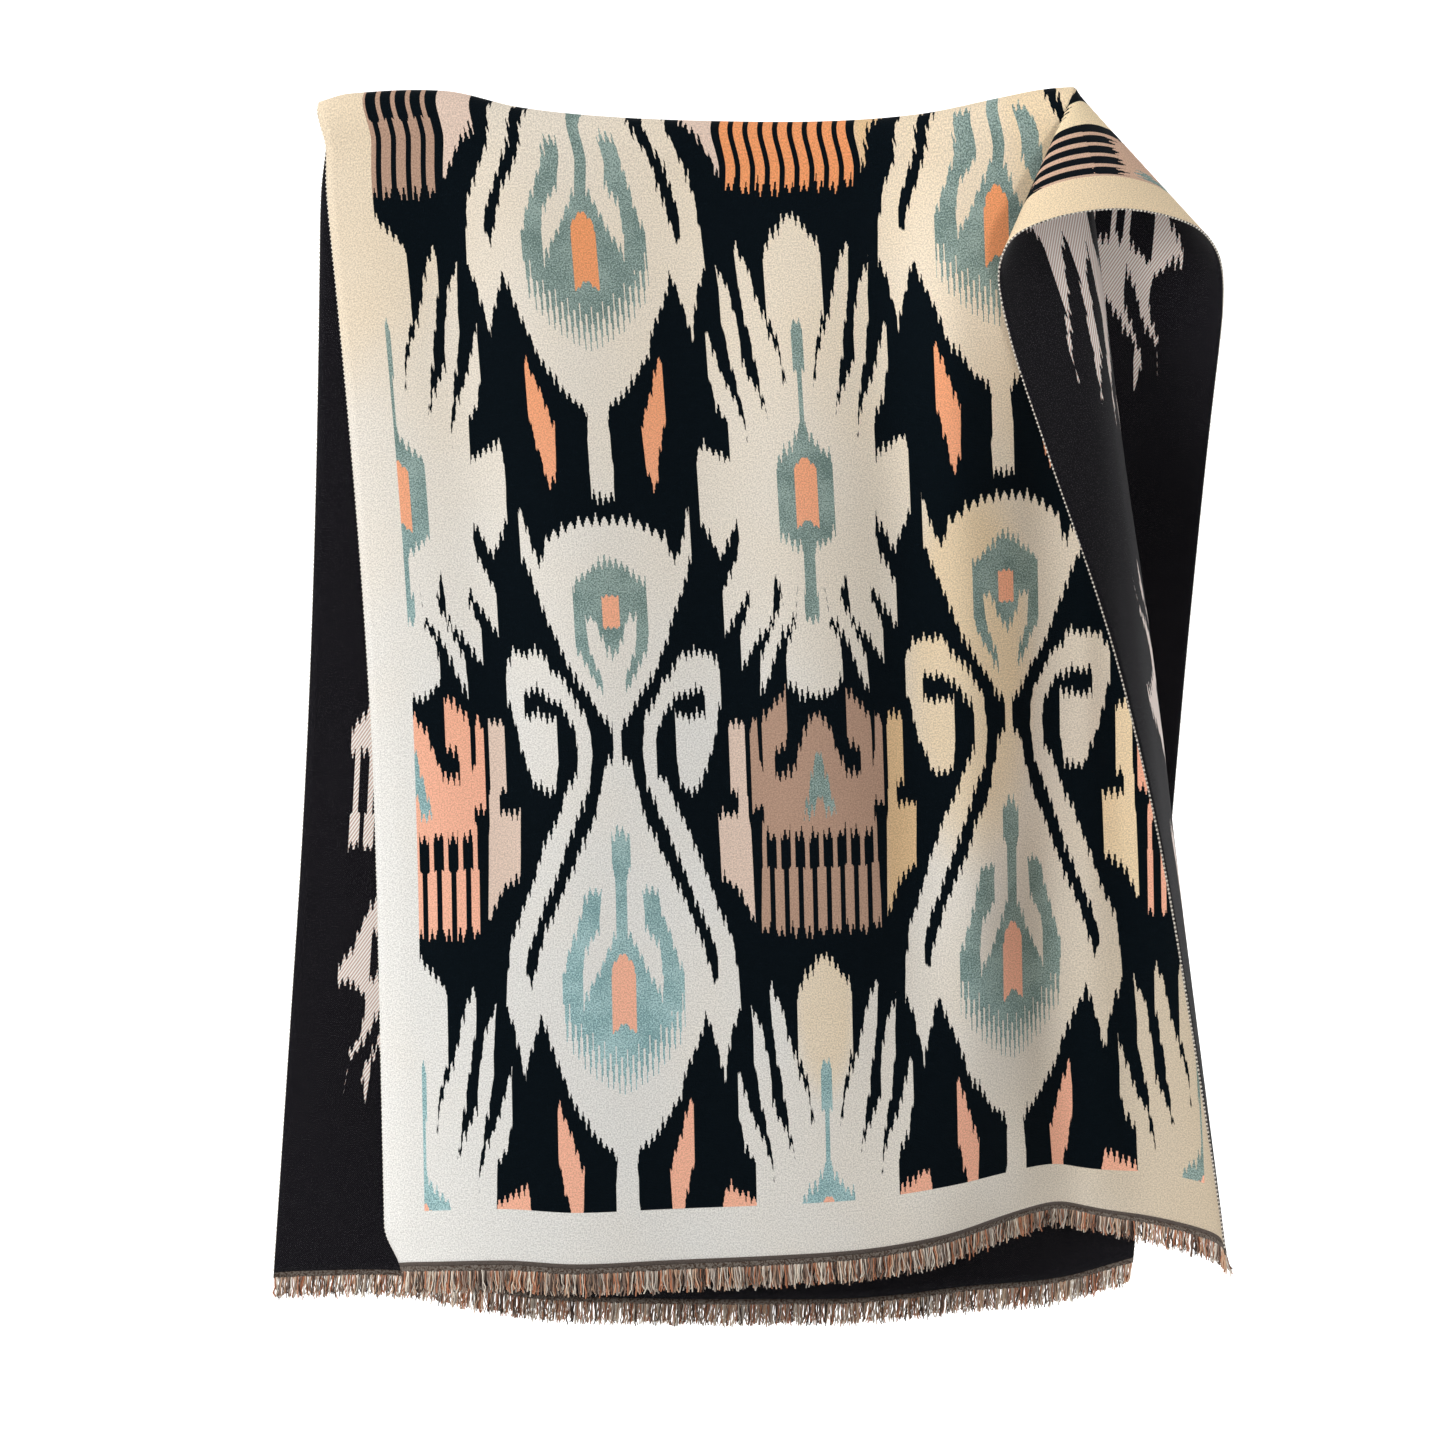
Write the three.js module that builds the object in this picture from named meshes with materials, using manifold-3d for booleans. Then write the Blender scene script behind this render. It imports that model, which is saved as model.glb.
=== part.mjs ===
// A woven ikat wrap scarf, folded in half over its weft and held up at two points of the fold.
// The right-hand end of the fold hangs past its hold point and drapes from it as a cowl.
// Millimetres, +Z up, X along the fold, Y away from the front. The origin is the right hold point.
import * as THREE from 'three';
import Module from 'manifold-3d';
import { mergeVertices } from 'three/addons/utils/BufferGeometryUtils.js';

const wasm = await Module();
wasm.setup();

// ---- Driving dimensions -------------------------------------------------------------------
const CLOTH_WIDTH = 700;          // selvedge to selvedge
const WALL = 1.6;                 // cloth thickness
const SEAM_GAP = 0.3;             // between neighbouring stretches
const HOLD_AT = 571;              // weft distance from the left selvedge to the right hold point
const FOLD_LEFT_X = -565;         // where the left selvedge crosses the fold
const FOLD_RADIUS = 9;            // half the distance between the two falls at the fold
const FOLD_FADE = 34;             // how far down a fall the rounding of the fold fades
const SEAM_AT = 540;              // where the fold and the falls meet the cowl and the margins
const FOLD_STRETCH = 62;          // how far the fold stretch reaches down each fall
const COWL_STRETCH = 175;         // how far the cowl reaches down each fall
const HEADING = 4.5;              // woven strip that the fringe hangs from
const FRINGE = 17;                // free length of the fringe
const STRAND_RADIUS = 1.5;        // of a lock at its tip
const STRANDS_PER_HEM = 120;
const HEM_ROLL_DEPTH = 24;        // the lower right part of the front hem rolls back
const HEM_ROLL_LIFT = 9;
const CORNER_CURL = 11;           // the lower left corner of the front turns back
const LEAN_DONE = 0.7;            // share of a fall by which its hem's sideways lean is reached

// Stations along the fold, by distance from the left selvedge. fold_z is the sagging fold line,
// len the length of each fall, and dx, dy how far its hem lies from where it would hang if it
// were parallel to the line below the hold point.
const FOLD_ROWS = [
  { s: 0, fold_z: -11, front_len: 865, front_dx: 32, front_dy: -62, back_len: 882, back_dx: 22, back_dy: -44 },
  { s: 22, fold_z: -5, front_len: 867, front_dx: 31, front_dy: -74, back_len: 888, back_dx: 22, back_dy: -38 },
  { s: 95, fold_z: -3, front_len: 865, front_dx: 28, front_dy: -88, back_len: 893, back_dx: 20, back_dy: -22 },
  { s: 150, fold_z: -15, front_len: 856, front_dx: 26, front_dy: -88, back_len: 890, back_dx: 18, back_dy: -26 },
  { s: 215, fold_z: -22, front_len: 848, front_dx: 24, front_dy: -80, back_len: 889, back_dx: 16, back_dy: -38 },
  { s: 300, fold_z: -25.5, front_len: 843, front_dx: 20, front_dy: -66, back_len: 891, back_dx: 13, back_dy: -26 },
  { s: 385, fold_z: -25.5, front_len: 840, front_dx: 15, front_dy: -48, back_len: 896, back_dx: 10, back_dy: -6 },
  { s: 455, fold_z: -20, front_len: 837, front_dx: 10, front_dy: -30, back_len: 904, back_dx: 6, back_dy: 4 },
  { s: 512, fold_z: -8.5, front_len: 841, front_dx: 5, front_dy: -15, back_len: 911, back_dx: 3, back_dy: 3 },
  { s: 545, fold_z: -2, front_len: 847, front_dx: 2, front_dy: -6, back_len: 913, back_dx: 1, back_dy: 1 },
  { s: 571, fold_z: 0, front_len: 853, front_dx: 0, front_dy: 0, back_len: 912, back_dx: 0, back_dy: 0 },
  { s: 640, fold_z: 0, front_len: 857, front_dx: 0, front_dy: 0, back_len: 906, back_dx: 0, back_dy: 0 },
  { s: 700, fold_z: 0, front_len: 860, front_dx: 0, front_dy: 0, back_len: 890, back_dx: 0, back_dy: 0 },
];

// Rays of the cowl in the order of the cloth, from straight down the front, round the cowl and
// down the back. side is the angle to the right of straight down, toward the angle to the front.
const COWL_RAYS = [
  { side: 1.2, toward: -4.4 },
  { side: 4.4, toward: -4.6 },
  { side: 7.4, toward: -2.1 },
  { side: 6.7, toward: 1.7 },
  { side: 4.9, toward: 5.1 },
  { side: 1.4, toward: 8.3 },
  { side: -6.0, toward: 11.6 },
  { side: -15.5, toward: 16.0 },
  { side: -23.4, toward: 22.5 },
  { side: -23.4, toward: 30.5 },
  { side: -12.0, toward: 36.0 },
  { side: 5.0, toward: 36.5 },
  { side: 19.0, toward: 32.4 },
  { side: 31.0, toward: 24.4 },
  { side: 38.8, toward: 14.4 },
  { side: 40.2, toward: 3.5 },
  { side: 35.0, toward: -5.2 },
  { side: 25.4, toward: -9.4 },
  { side: 14.6, toward: -9.6 },
  { side: 5.0, toward: -7.7 },
  { side: -4.2, toward: -5.6 },
];

// ---- Helpers ------------------------------------------------------------------------------
const radians = THREE.MathUtils.degToRad;
const smoothstep = THREE.MathUtils.smoothstep;

// A smooth value of one column of the fold table at any distance from the left selvedge.
function foldColumn(name, s) {
  const rows = FOLD_ROWS;
  let i = 0;
  while (i < rows.length - 2 && s > rows[i + 1].s) i += 1;
  const slopeAt = (k) => {
    const a = rows[Math.max(k - 1, 0)];
    const b = rows[Math.min(k + 1, rows.length - 1)];
    return (b[name] - a[name]) / (b.s - a.s);
  };
  const span = rows[i + 1].s - rows[i].s;
  const v = THREE.MathUtils.clamp((s - rows[i].s) / span, 0, 1);
  const v2 = v * v;
  const v3 = v2 * v;
  return rows[i][name] * (2 * v3 - 3 * v2 + 1) + slopeAt(i) * span * (v3 - 2 * v2 + v)
    + rows[i + 1][name] * (3 * v2 - 2 * v3) + slopeAt(i + 1) * span * (v3 - v2);
}

function rayDirection({ side, toward }) {
  const a = radians(side);
  const b = radians(toward);
  return new THREE.Vector3(Math.sin(a) * Math.cos(b), -Math.sin(b), -Math.cos(a) * Math.cos(b));
}

const cowlCurve = new THREE.CatmullRomCurve3(COWL_RAYS.map(rayDirection), false, 'catmullrom', 0.5);
cowlCurve.arcLengthDivisions = 800;

// The direction of the ray at an angle of the cloth, 0 down the front and PI down the back.
const cowlDirection = (angle) => cowlCurve.getPointAt(THREE.MathUtils.clamp(angle / Math.PI, 0, 1)).normalize();

const fallLength = (s, t) => foldColumn(t >= 0 ? 'front_len' : 'back_len', s);

// ---- The cloth's middle surface -----------------------------------------------------------
// s runs from the left selvedge to the right, t from the fold down the front, negative behind.
function clothPoint(s, t) {
  const past = Math.max(s - HOLD_AT, 0);
  const onFold = Math.min(s, HOLD_AT);
  const rounding = FOLD_RADIUS * Math.exp(-((t / FOLD_FADE) ** 2));
  const angle = Math.atan2(past + rounding, t);
  const reach = Math.hypot(past + rounding, t) - rounding;
  const point = cowlDirection(angle).multiplyScalar(reach);
  point.x += FOLD_LEFT_X * (1 - onFold / HOLD_AT);
  point.y -= FOLD_RADIUS * Math.cos(angle);
  point.z += foldColumn('fold_z', onFold) + FOLD_RADIUS * (Math.sin(angle) - 1);
  const v = Math.abs(t) / fallLength(s, t);
  const lean = Math.sin((Math.PI / 2) * Math.min(v / LEAN_DONE, 1));
  if (t >= 0) {
    point.x += foldColumn('front_dx', onFold) * lean;
    point.y += foldColumn('front_dy', onFold) * v;
    const roll = Math.exp(-(((s - 545) / 95) ** 2)) * smoothstep(v, 0.945, 1.04);
    const curl = Math.exp(-s / 20) * smoothstep(v, 0.962, 1.006);
    point.y += HEM_ROLL_DEPTH * roll + CORNER_CURL * curl;
    point.z += HEM_ROLL_LIFT * roll;
    point.x += CORNER_CURL * curl;
  } else {
    point.x += foldColumn('back_dx', onFold) * lean;
    point.y += foldColumn('back_dy', onFold) * v;
  }
  return point;
}

function clothNormal(s, t) {
  const step = 0.5;
  const across = clothPoint(s + step, t).sub(clothPoint(s - step, t));
  const along = clothPoint(s, t + step).sub(clothPoint(s, t - step));
  return across.cross(along).normalize();
}

// ---- Walls --------------------------------------------------------------------------------
const evenSteps = (from, to, count) => Array.from({ length: count + 1 }, (_, i) => from + ((to - from) * i) / count);

// Closed wall between two lists of stations. The t stations may depend on s.
function clothWall(sStations, tStationsAt) {
  const columns = sStations.length;
  const rows = tStationsAt(sStations[0]).length;
  const positions = [];
  for (const side of [0.5, -0.5]) {
    for (const s of sStations) {
      for (const t of tStationsAt(s)) {
        const p = clothPoint(s, t).addScaledVector(clothNormal(s, t), side * WALL);
        positions.push(p.x, p.y, p.z);
      }
    }
  }
  const index = [];
  const at = (layer, i, j) => layer * columns * rows + i * rows + j;
  const quad = (a, b, c, d) => index.push(a, b, c, a, c, d);
  for (let i = 0; i < columns - 1; i += 1) {
    for (let j = 0; j < rows - 1; j += 1) {
      quad(at(0, i, j), at(0, i + 1, j), at(0, i + 1, j + 1), at(0, i, j + 1));
      quad(at(1, i, j), at(1, i, j + 1), at(1, i + 1, j + 1), at(1, i + 1, j));
    }
  }
  for (let i = 0; i < columns - 1; i += 1) {
    quad(at(0, i + 1, 0), at(0, i, 0), at(1, i, 0), at(1, i + 1, 0));
    quad(at(0, i, rows - 1), at(0, i + 1, rows - 1), at(1, i + 1, rows - 1), at(1, i, rows - 1));
  }
  for (let j = 0; j < rows - 1; j += 1) {
    quad(at(0, 0, j), at(0, 0, j + 1), at(1, 0, j + 1), at(1, 0, j));
    quad(at(0, columns - 1, j + 1), at(0, columns - 1, j), at(1, columns - 1, j), at(1, columns - 1, j + 1));
  }
  const geometry = new THREE.BufferGeometry();
  geometry.setAttribute('position', new THREE.Float32BufferAttribute(positions, 3));
  geometry.setIndex(index);
  return geometry;
}

function toManifold(geometry) {
  const merged = mergeVertices(geometry, 1e-5);
  return new wasm.Manifold(new wasm.Mesh({
    numProp: 3,
    vertProperties: new Float32Array(merged.attributes.position.array),
    triVerts: new Uint32Array(merged.index.array),
  }));
}

function fromManifold(solid) {
  const mesh = solid.getMesh();
  const geometry = new THREE.BufferGeometry();
  geometry.setAttribute('position', new THREE.BufferAttribute(mesh.vertProperties, mesh.numProp));
  geometry.setIndex(new THREE.BufferAttribute(mesh.triVerts, 1));
  return geometry;
}

// ---- Stations of each stretch -------------------------------------------------------------
// Both falls and the stretch above them share their stations across, so that seams run parallel.
const leftStations = evenSteps(0, SEAM_AT - SEAM_GAP / 2, 20);

// Stations of the right part, close together at the tip of the cowl.
const rightStations = [
  ...evenSteps(SEAM_AT + SEAM_GAP / 2, HOLD_AT - 5, 2),
  ...evenSteps(HOLD_AT, HOLD_AT + 24, 3),
  ...evenSteps(HOLD_AT + 24, CLOTH_WIDTH, 6).slice(1),
];

// Stations close together at the fold and wider apart down the falls.
const foldStations = evenSteps(-1, 1, 14).map((v) => FOLD_STRETCH * Math.sign(v) * Math.abs(v) ** 1.5);
const belowFold = evenSteps(FOLD_STRETCH, COWL_STRETCH, 9).slice(1);
const cowlStations = [...belowFold.map((t) => -t).reverse(), ...foldStations, ...belowFold];

const frontStations = (from, count) => (s) => evenSteps(from + SEAM_GAP, fallLength(s, 1), count);
const backStations = (from, count) => (s) => evenSteps(-fallLength(s, -1), -from - SEAM_GAP, count);

// ---- Fringe -------------------------------------------------------------------------------
const headingStations = [...leftStations, ...rightStations];

// A point a given way past the hem, on the flat facets between the heading's stations.
function pointPastHem(s, sign, past) {
  let i = 0;
  while (i < headingStations.length - 2 && s > headingStations[i + 1]) i += 1;
  const [left, right] = headingStations.slice(i, i + 2);
  const at = (station) => clothPoint(station, sign * (fallLength(station, sign) + past));
  return at(left).lerp(at(right), (s - left) / (right - left));
}

// A three-sided lock of cut warp ends, rooted in the heading and flaring to its tip.
function fringeStrand(s, sign, number) {
  const root = pointPastHem(s, sign, HEADING * 0.5);
  const below = pointPastHem(s, sign, HEADING + 4);
  const run = below.clone().sub(root).normalize();
  const across = pointPastHem(s + 1, sign, HEADING).sub(pointPastHem(s - 1, sign, HEADING)).normalize();
  const normal = new THREE.Vector3().crossVectors(across, run).normalize();
  const length = HEADING * 0.5 + FRINGE * (1 + 0.10 * Math.sin(number * 3.1));
  const splay = length * (0.09 * Math.sin(number * 2.4) + 0.05 * Math.sin(number * 0.7 + 1));
  const swing = length * 0.10 * Math.sin(number * 1.7 + 2);
  const tip = root.clone().addScaledVector(run, length)
    .addScaledVector(across, splay).addScaledVector(normal, swing);
  const positions = [];
  for (const [centre, radius] of [[root, WALL * 0.35], [tip, STRAND_RADIUS]]) {
    for (let k = 0; k < 3; k += 1) {
      const turn = (k * 2 * Math.PI) / 3 + number;
      const p = centre.clone().addScaledVector(across, Math.cos(turn) * radius)
        .addScaledVector(normal, Math.sin(turn) * radius);
      positions.push(p.x, p.y, p.z);
    }
  }
  const geometry = new THREE.BufferGeometry();
  geometry.setAttribute('position', new THREE.Float32BufferAttribute(positions, 3));
  geometry.setIndex([0, 1, 2, 3, 5, 4, 0, 3, 1, 1, 3, 4, 1, 4, 2, 2, 4, 5, 2, 5, 0, 0, 5, 3]);
  return geometry;
}

// Heading strip just past the hem, with the strands fused into it.
function fringeGeometry(sign) {
  const strip = clothWall(headingStations, (s) => {
    const near = fallLength(s, sign) + SEAM_GAP;
    return sign > 0 ? [near, near + HEADING] : [-near - HEADING, -near];
  });
  const pitch = (CLOTH_WIDTH - 6) / (STRANDS_PER_HEM - 1);
  const solids = [toManifold(strip)];
  for (let n = 0; n < STRANDS_PER_HEM; n += 1) solids.push(toManifold(fringeStrand(3 + n * pitch, sign, n)));
  return fromManifold(wasm.Manifold.union(solids));
}

// ---- Materials ----------------------------------------------------------------------------
const fabric = (color) => new THREE.MeshStandardMaterial({ color, roughness: 0.95, metalness: 0 });
const FACE_COLOUR = 0xd8d0c0;
const REVERSE_COLOUR = 0x121218;
const FRINGE_COLOUR = 0xb08870;

const scarf = new THREE.Group();

function addStretch(name, geometry, color) {
  const mesh = new THREE.Mesh(geometry, fabric(color));
  mesh.name = name;
  scarf.add(mesh);
}

addStretch('fold_crest', clothWall(leftStations, () => foldStations), FACE_COLOUR);
addStretch('cowl', clothWall(rightStations, () => cowlStations), FACE_COLOUR);
addStretch('front_fall', clothWall(leftStations, frontStations(FOLD_STRETCH, 18)), FACE_COLOUR);
addStretch('front_margin', clothWall(rightStations, frontStations(COWL_STRETCH, 14)), REVERSE_COLOUR);
addStretch('back_fall', clothWall(leftStations, backStations(FOLD_STRETCH, 11)), REVERSE_COLOUR);
addStretch('back_margin', clothWall(rightStations, backStations(COWL_STRETCH, 10)), REVERSE_COLOUR);
addStretch('front_fringe', fringeGeometry(1), FRINGE_COLOUR);
addStretch('back_fringe', fringeGeometry(-1), FRINGE_COLOUR);

export default scarf;
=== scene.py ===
"""Dresses the fringed wrap scarf: its cloth, its fringes, its stitched edges and the studio it hangs in.

Metres, +Z up. The scarf hangs from two points of its fold, and the right one is the origin.
"""

import logging
import math
from collections.abc import Callable
from dataclasses import dataclass, field
from enum import Enum

import bpy
import numpy as np
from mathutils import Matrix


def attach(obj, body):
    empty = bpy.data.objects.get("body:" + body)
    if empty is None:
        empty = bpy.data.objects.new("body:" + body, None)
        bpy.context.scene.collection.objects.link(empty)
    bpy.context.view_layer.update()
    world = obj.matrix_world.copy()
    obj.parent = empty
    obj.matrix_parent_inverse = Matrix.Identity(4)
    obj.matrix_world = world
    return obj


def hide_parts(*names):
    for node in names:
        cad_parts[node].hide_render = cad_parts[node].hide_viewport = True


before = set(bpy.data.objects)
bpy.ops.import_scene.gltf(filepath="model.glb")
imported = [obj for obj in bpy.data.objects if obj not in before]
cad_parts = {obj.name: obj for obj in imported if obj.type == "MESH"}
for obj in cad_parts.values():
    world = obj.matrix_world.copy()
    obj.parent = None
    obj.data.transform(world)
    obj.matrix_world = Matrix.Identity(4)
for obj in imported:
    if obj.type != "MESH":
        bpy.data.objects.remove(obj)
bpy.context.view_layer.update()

LOG = logging.getLogger("scarf")
MM = 0.001
BLACK = (0.0, 0.0, 0.0, 1.0)
WHITE = (1.0, 1.0, 1.0, 1.0)


def grey(level: float) -> tuple[float, float, float, float]:
    """An even linear colour of one level."""
    return level, level, level, 1.0


# ---- Shader maths -------------------------------------------------------------------------------
class Field:
    """A number that varies over a surface, with arithmetic that adds Math nodes."""

    def __init__(self, dye: "DyeBath", socket: bpy.types.NodeSocket) -> None:
        """Wraps a socket.

        Args:
            dye: The node builder that owns the tree.
            socket: The output that carries the number.
        """
        self.dye = dye
        self.socket = socket

    def _math(self, operation: str, *values: object) -> "Field":
        """Adds one Math node.

        Args:
            operation: The node's operation.
            values: Its inputs, as fields or plain numbers.

        Returns:
            The node's output as a field.
        """
        return self.dye.number("ShaderNodeMath", {"operation": operation}, dict(enumerate(values)))

    def __add__(self, other: object) -> "Field":
        """Sum."""
        return self._math("ADD", self, other)

    def __radd__(self, other: object) -> "Field":
        """Sum with a plain number on the left."""
        return self._math("ADD", other, self)

    def __sub__(self, other: object) -> "Field":
        """Difference."""
        return self._math("SUBTRACT", self, other)

    def __rsub__(self, other: object) -> "Field":
        """Difference with a plain number on the left."""
        return self._math("SUBTRACT", other, self)

    def __mul__(self, other: object) -> "Field":
        """Product."""
        return self._math("MULTIPLY", self, other)

    def __rmul__(self, other: object) -> "Field":
        """Product with a plain number on the left."""
        return self._math("MULTIPLY", other, self)

    def __truediv__(self, other: object) -> "Field":
        """Quotient."""
        return self._math("DIVIDE", self, other)

    def __gt__(self, other: object) -> "Field":
        """1 where this field is the larger."""
        return self._math("GREATER_THAN", self, other)

    def __lt__(self, other: object) -> "Field":
        """1 where this field is the smaller."""
        return self._math("LESS_THAN", self, other)

    def floor(self) -> "Field":
        """Whole part."""
        return self._math("FLOOR", self)

    def modulo(self, span: float) -> "Field":
        """Remainder that never turns negative."""
        return self._math("FLOORED_MODULO", self, span)

    def pingpong(self, span: float) -> "Field":
        """Distance to the nearest even multiple of the span."""
        return self._math("PINGPONG", self, span)

    def absolute(self) -> "Field":
        """Size without its sign."""
        return self._math("ABSOLUTE", self)

    def larger(self, other: object) -> "Field":
        """The larger of two."""
        return self._math("MAXIMUM", self, other)

    def smaller(self, other: object) -> "Field":
        """The smaller of two."""
        return self._math("MINIMUM", self, other)

    def ramp(self, low: float, high: float) -> "Field":
        """Runs smoothly from 0 at low to 1 at high.

        Args:
            low: Where the ramp starts.
            high: Where it ends.

        Returns:
            The ramp as a field.
        """
        values = {0: self, 1: low, 2: high, 3: 0.0, 4: 1.0}
        return self.dye.number("ShaderNodeMapRange", {"interpolation_type": "SMOOTHSTEP"}, values)


class NodeBench:
    """Adds nodes to one tree, of a material or of a trim."""

    def __init__(self, tree: bpy.types.NodeTree) -> None:
        """Takes the tree to build on."""
        self.tree = tree

    def feed(self, socket: bpy.types.NodeSocket, value: object) -> None:
        """Links a field or a socket to an input, or sets the input to a plain value.

        Args:
            socket: The input.
            value: What goes in.
        """
        source = value.socket if isinstance(value, Field) else value
        if isinstance(source, bpy.types.NodeSocket):
            self.tree.links.new(source, socket)
        else:
            socket.default_value = source

    def add(self, kind: str, settings: dict, values: dict) -> bpy.types.Node:
        """Adds a node.

        Args:
            kind: The node's type.
            settings: Its properties, set before the inputs.
            values: Its inputs by name or index, as fields, sockets or plain values.

        Returns:
            The node.
        """
        node = self.tree.nodes.new(kind)
        for key, value in settings.items():
            setattr(node, key, value)
        for key, value in values.items():
            self.feed(node.inputs[key], value)
        return node


class DyeBath(NodeBench):
    """Builds the nodes of one material."""

    SHINE = 0.06

    def __init__(self, name: str) -> None:
        """Starts an empty material.

        Args:
            name: The finish's name.
        """
        self.material = bpy.data.materials.new(name)
        self.material.use_nodes = True
        super().__init__(self.material.node_tree)
        self.tree.nodes.clear()

    def number(self, kind: str, settings: dict, values: dict, output: int | str = 0) -> Field:
        """Adds a node and returns one of its outputs as a field."""
        return Field(self, self.add(kind, settings, values).outputs[output])

    def mix(self, share: object, first: object, second: object,
            blend: str = "MIX") -> bpy.types.NodeSocket:
        """Blends two colours.

        Args:
            share: How much of the second, as a field or a number.
            first: The first colour, as a socket or four numbers.
            second: The second colour.
            blend: The Mix node's blend type.

        Returns:
            The blended colour's socket.
        """
        node = self.add("ShaderNodeMix", {"data_type": "RGBA", "blend_type": blend}, {})
        sockets = {s.identifier: s for s in node.inputs}
        for key, value in (("Factor_Float", share), ("A_Color", first), ("B_Color", second)):
            self.feed(sockets[key], value)
        return next(s for s in node.outputs if s.identifier == "Result_Color")

    def noise(self, place: object, scale: float, detail: float = 2.0) -> Field:
        """Smooth noise about one half.

        Args:
            place: The coordinates' socket.
            scale: Lumps in each metre.
            detail: Octaves.

        Returns:
            The noise as a field.
        """
        return self.number("ShaderNodeTexNoise", {}, {"Vector": place, "Scale": scale, "Detail": detail})

    def profile(self, height: Field, rows: tuple) -> Field:
        """Distance from a motif's axis at a height, read off a row of straight stretches.

        Args:
            height: Height in the repeat, in millimetres.
            rows: Pairs of height and distance in millimetres, from the lowest up.

        Returns:
            The distance as a field, in millimetres.
        """
        low, high = rows[0][0], rows[-1][0]
        reach = max(distance for _, distance in rows) or 1.0
        node = self.tree.nodes.new("ShaderNodeFloatCurve")
        node.mapping.extend = "HORIZONTAL"
        curve = node.mapping.curves[0]
        spots = [((h - low) / (high - low), distance / reach) for h, distance in rows]
        while len(curve.points) < len(spots):
            curve.points.new(0.5, 0.5)
        for point, spot in zip(curve.points, spots):
            point.location = spot
            point.handle_type = "VECTOR"
        node.mapping.update()
        self.feed(node.inputs["Value"], (height - low) / (high - low))
        return Field(self, node.outputs["Value"]) * reach

    def finish(self, colour: object, roughness: float, height: Field, depth: float, sheen: float,
               glow: object = BLACK, glow_strength: float = 0.0) -> None:
        """Ends the material in one shader.

        Args:
            colour: Base colour.
            roughness: Roughness.
            height: Relief, from 0 to 1.
            depth: What a relief of 1 stands for, in metres.
            sheen: Strength of the nap's sheen.
            glow: Colour of its own light.
            glow_strength: Strength of its own light.
        """
        bump = self.add("ShaderNodeBump", {}, {"Strength": 1.0, "Distance": depth, "Height": height})
        values = {"Base Color": colour, "Roughness": roughness, "Normal": bump.outputs["Normal"],
                  "Sheen Weight": sheen, "Sheen Roughness": 0.5, "Specular IOR Level": self.SHINE,
                  "Emission Color": glow, "Emission Strength": glow_strength}
        shader = self.add("ShaderNodeBsdfPrincipled", {}, values)
        self.add("ShaderNodeOutputMaterial", {}, {"Surface": shader.outputs["BSDF"]})


def srgb(red: int, green: int, blue: int) -> tuple[float, float, float, float]:
    """Turns a dye's 8-bit screen colour into the linear colour that a shader reads.

    Args:
        red: Red from 0 to 255.
        green: Green from 0 to 255.
        blue: Blue from 0 to 255.

    Returns:
        Linear red, green, blue and an alpha of 1.
    """
    def linear(value: int) -> float:
        """One channel."""
        share = value / 255
        return share / 12.92 if share <= 0.04045 else ((share + 0.055) / 1.055) ** 2.4

    return linear(red), linear(green), linear(blue), 1.0


# ---- The shape of the hanging cloth -------------------------------------------------------------
class Fold(Enum):
    """Columns of the table of stations along the fold."""

    S = 0
    FOLD_Z = 1
    FRONT_LEN = 2
    FRONT_DX = 3
    FRONT_DY = 4
    BACK_LEN = 5
    BACK_DX = 6
    BACK_DY = 7


# Distance from the left selvedge, the sagging fold line, and for each fall its length and how far
# its hem lies from where it would hang below the hold point.
FOLD_ROWS = np.array([
    (0, -11, 865, 32, -62, 882, 22, -44),
    (22, -5, 867, 31, -74, 888, 22, -38),
    (95, -3, 865, 28, -88, 893, 20, -22),
    (150, -15, 856, 26, -88, 890, 18, -26),
    (215, -22, 848, 24, -80, 889, 16, -38),
    (300, -25.5, 843, 20, -66, 891, 13, -26),
    (385, -25.5, 840, 15, -48, 896, 10, -6),
    (455, -20, 837, 10, -30, 904, 6, 4),
    (512, -8.5, 841, 5, -15, 911, 3, 3),
    (545, -2, 847, 2, -6, 913, 1, 1),
    (571, 0, 853, 0, 0, 912, 0, 0),
    (640, 0, 857, 0, 0, 906, 0, 0),
    (700, 0, 860, 0, 0, 890, 0, 0),
])

# Rays of the cowl from straight down the front, round the cowl and down the back: degrees to the
# right of straight down, and degrees to the front.
COWL_RAYS = np.array([
    (1.2, -4.4), (4.4, -4.6), (7.4, -2.1), (6.7, 1.7), (4.9, 5.1), (1.4, 8.3), (-6.0, 11.6),
    (-15.5, 16.0), (-23.4, 22.5), (-23.4, 30.5), (-12.0, 36.0), (5.0, 36.5), (19.0, 32.4), (31.0, 24.4),
    (38.8, 14.4), (40.2, 3.5), (35.0, -5.2), (25.4, -9.4), (14.6, -9.6), (5.0, -7.7), (-4.2, -5.6),
])


@dataclass(frozen=True)
class Crease:
    """A soft trough or ridge pressed into the cloth.

    Its line runs from (s0, v0) to (s1, v1), s in millimetres from the left selvedge and v the share
    of the fall from the fold, 0, to the hem, 1. Falls behind have a negative v.
    """

    s0: float
    v0: float
    s1: float
    v1: float
    width: float
    depth: float


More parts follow.
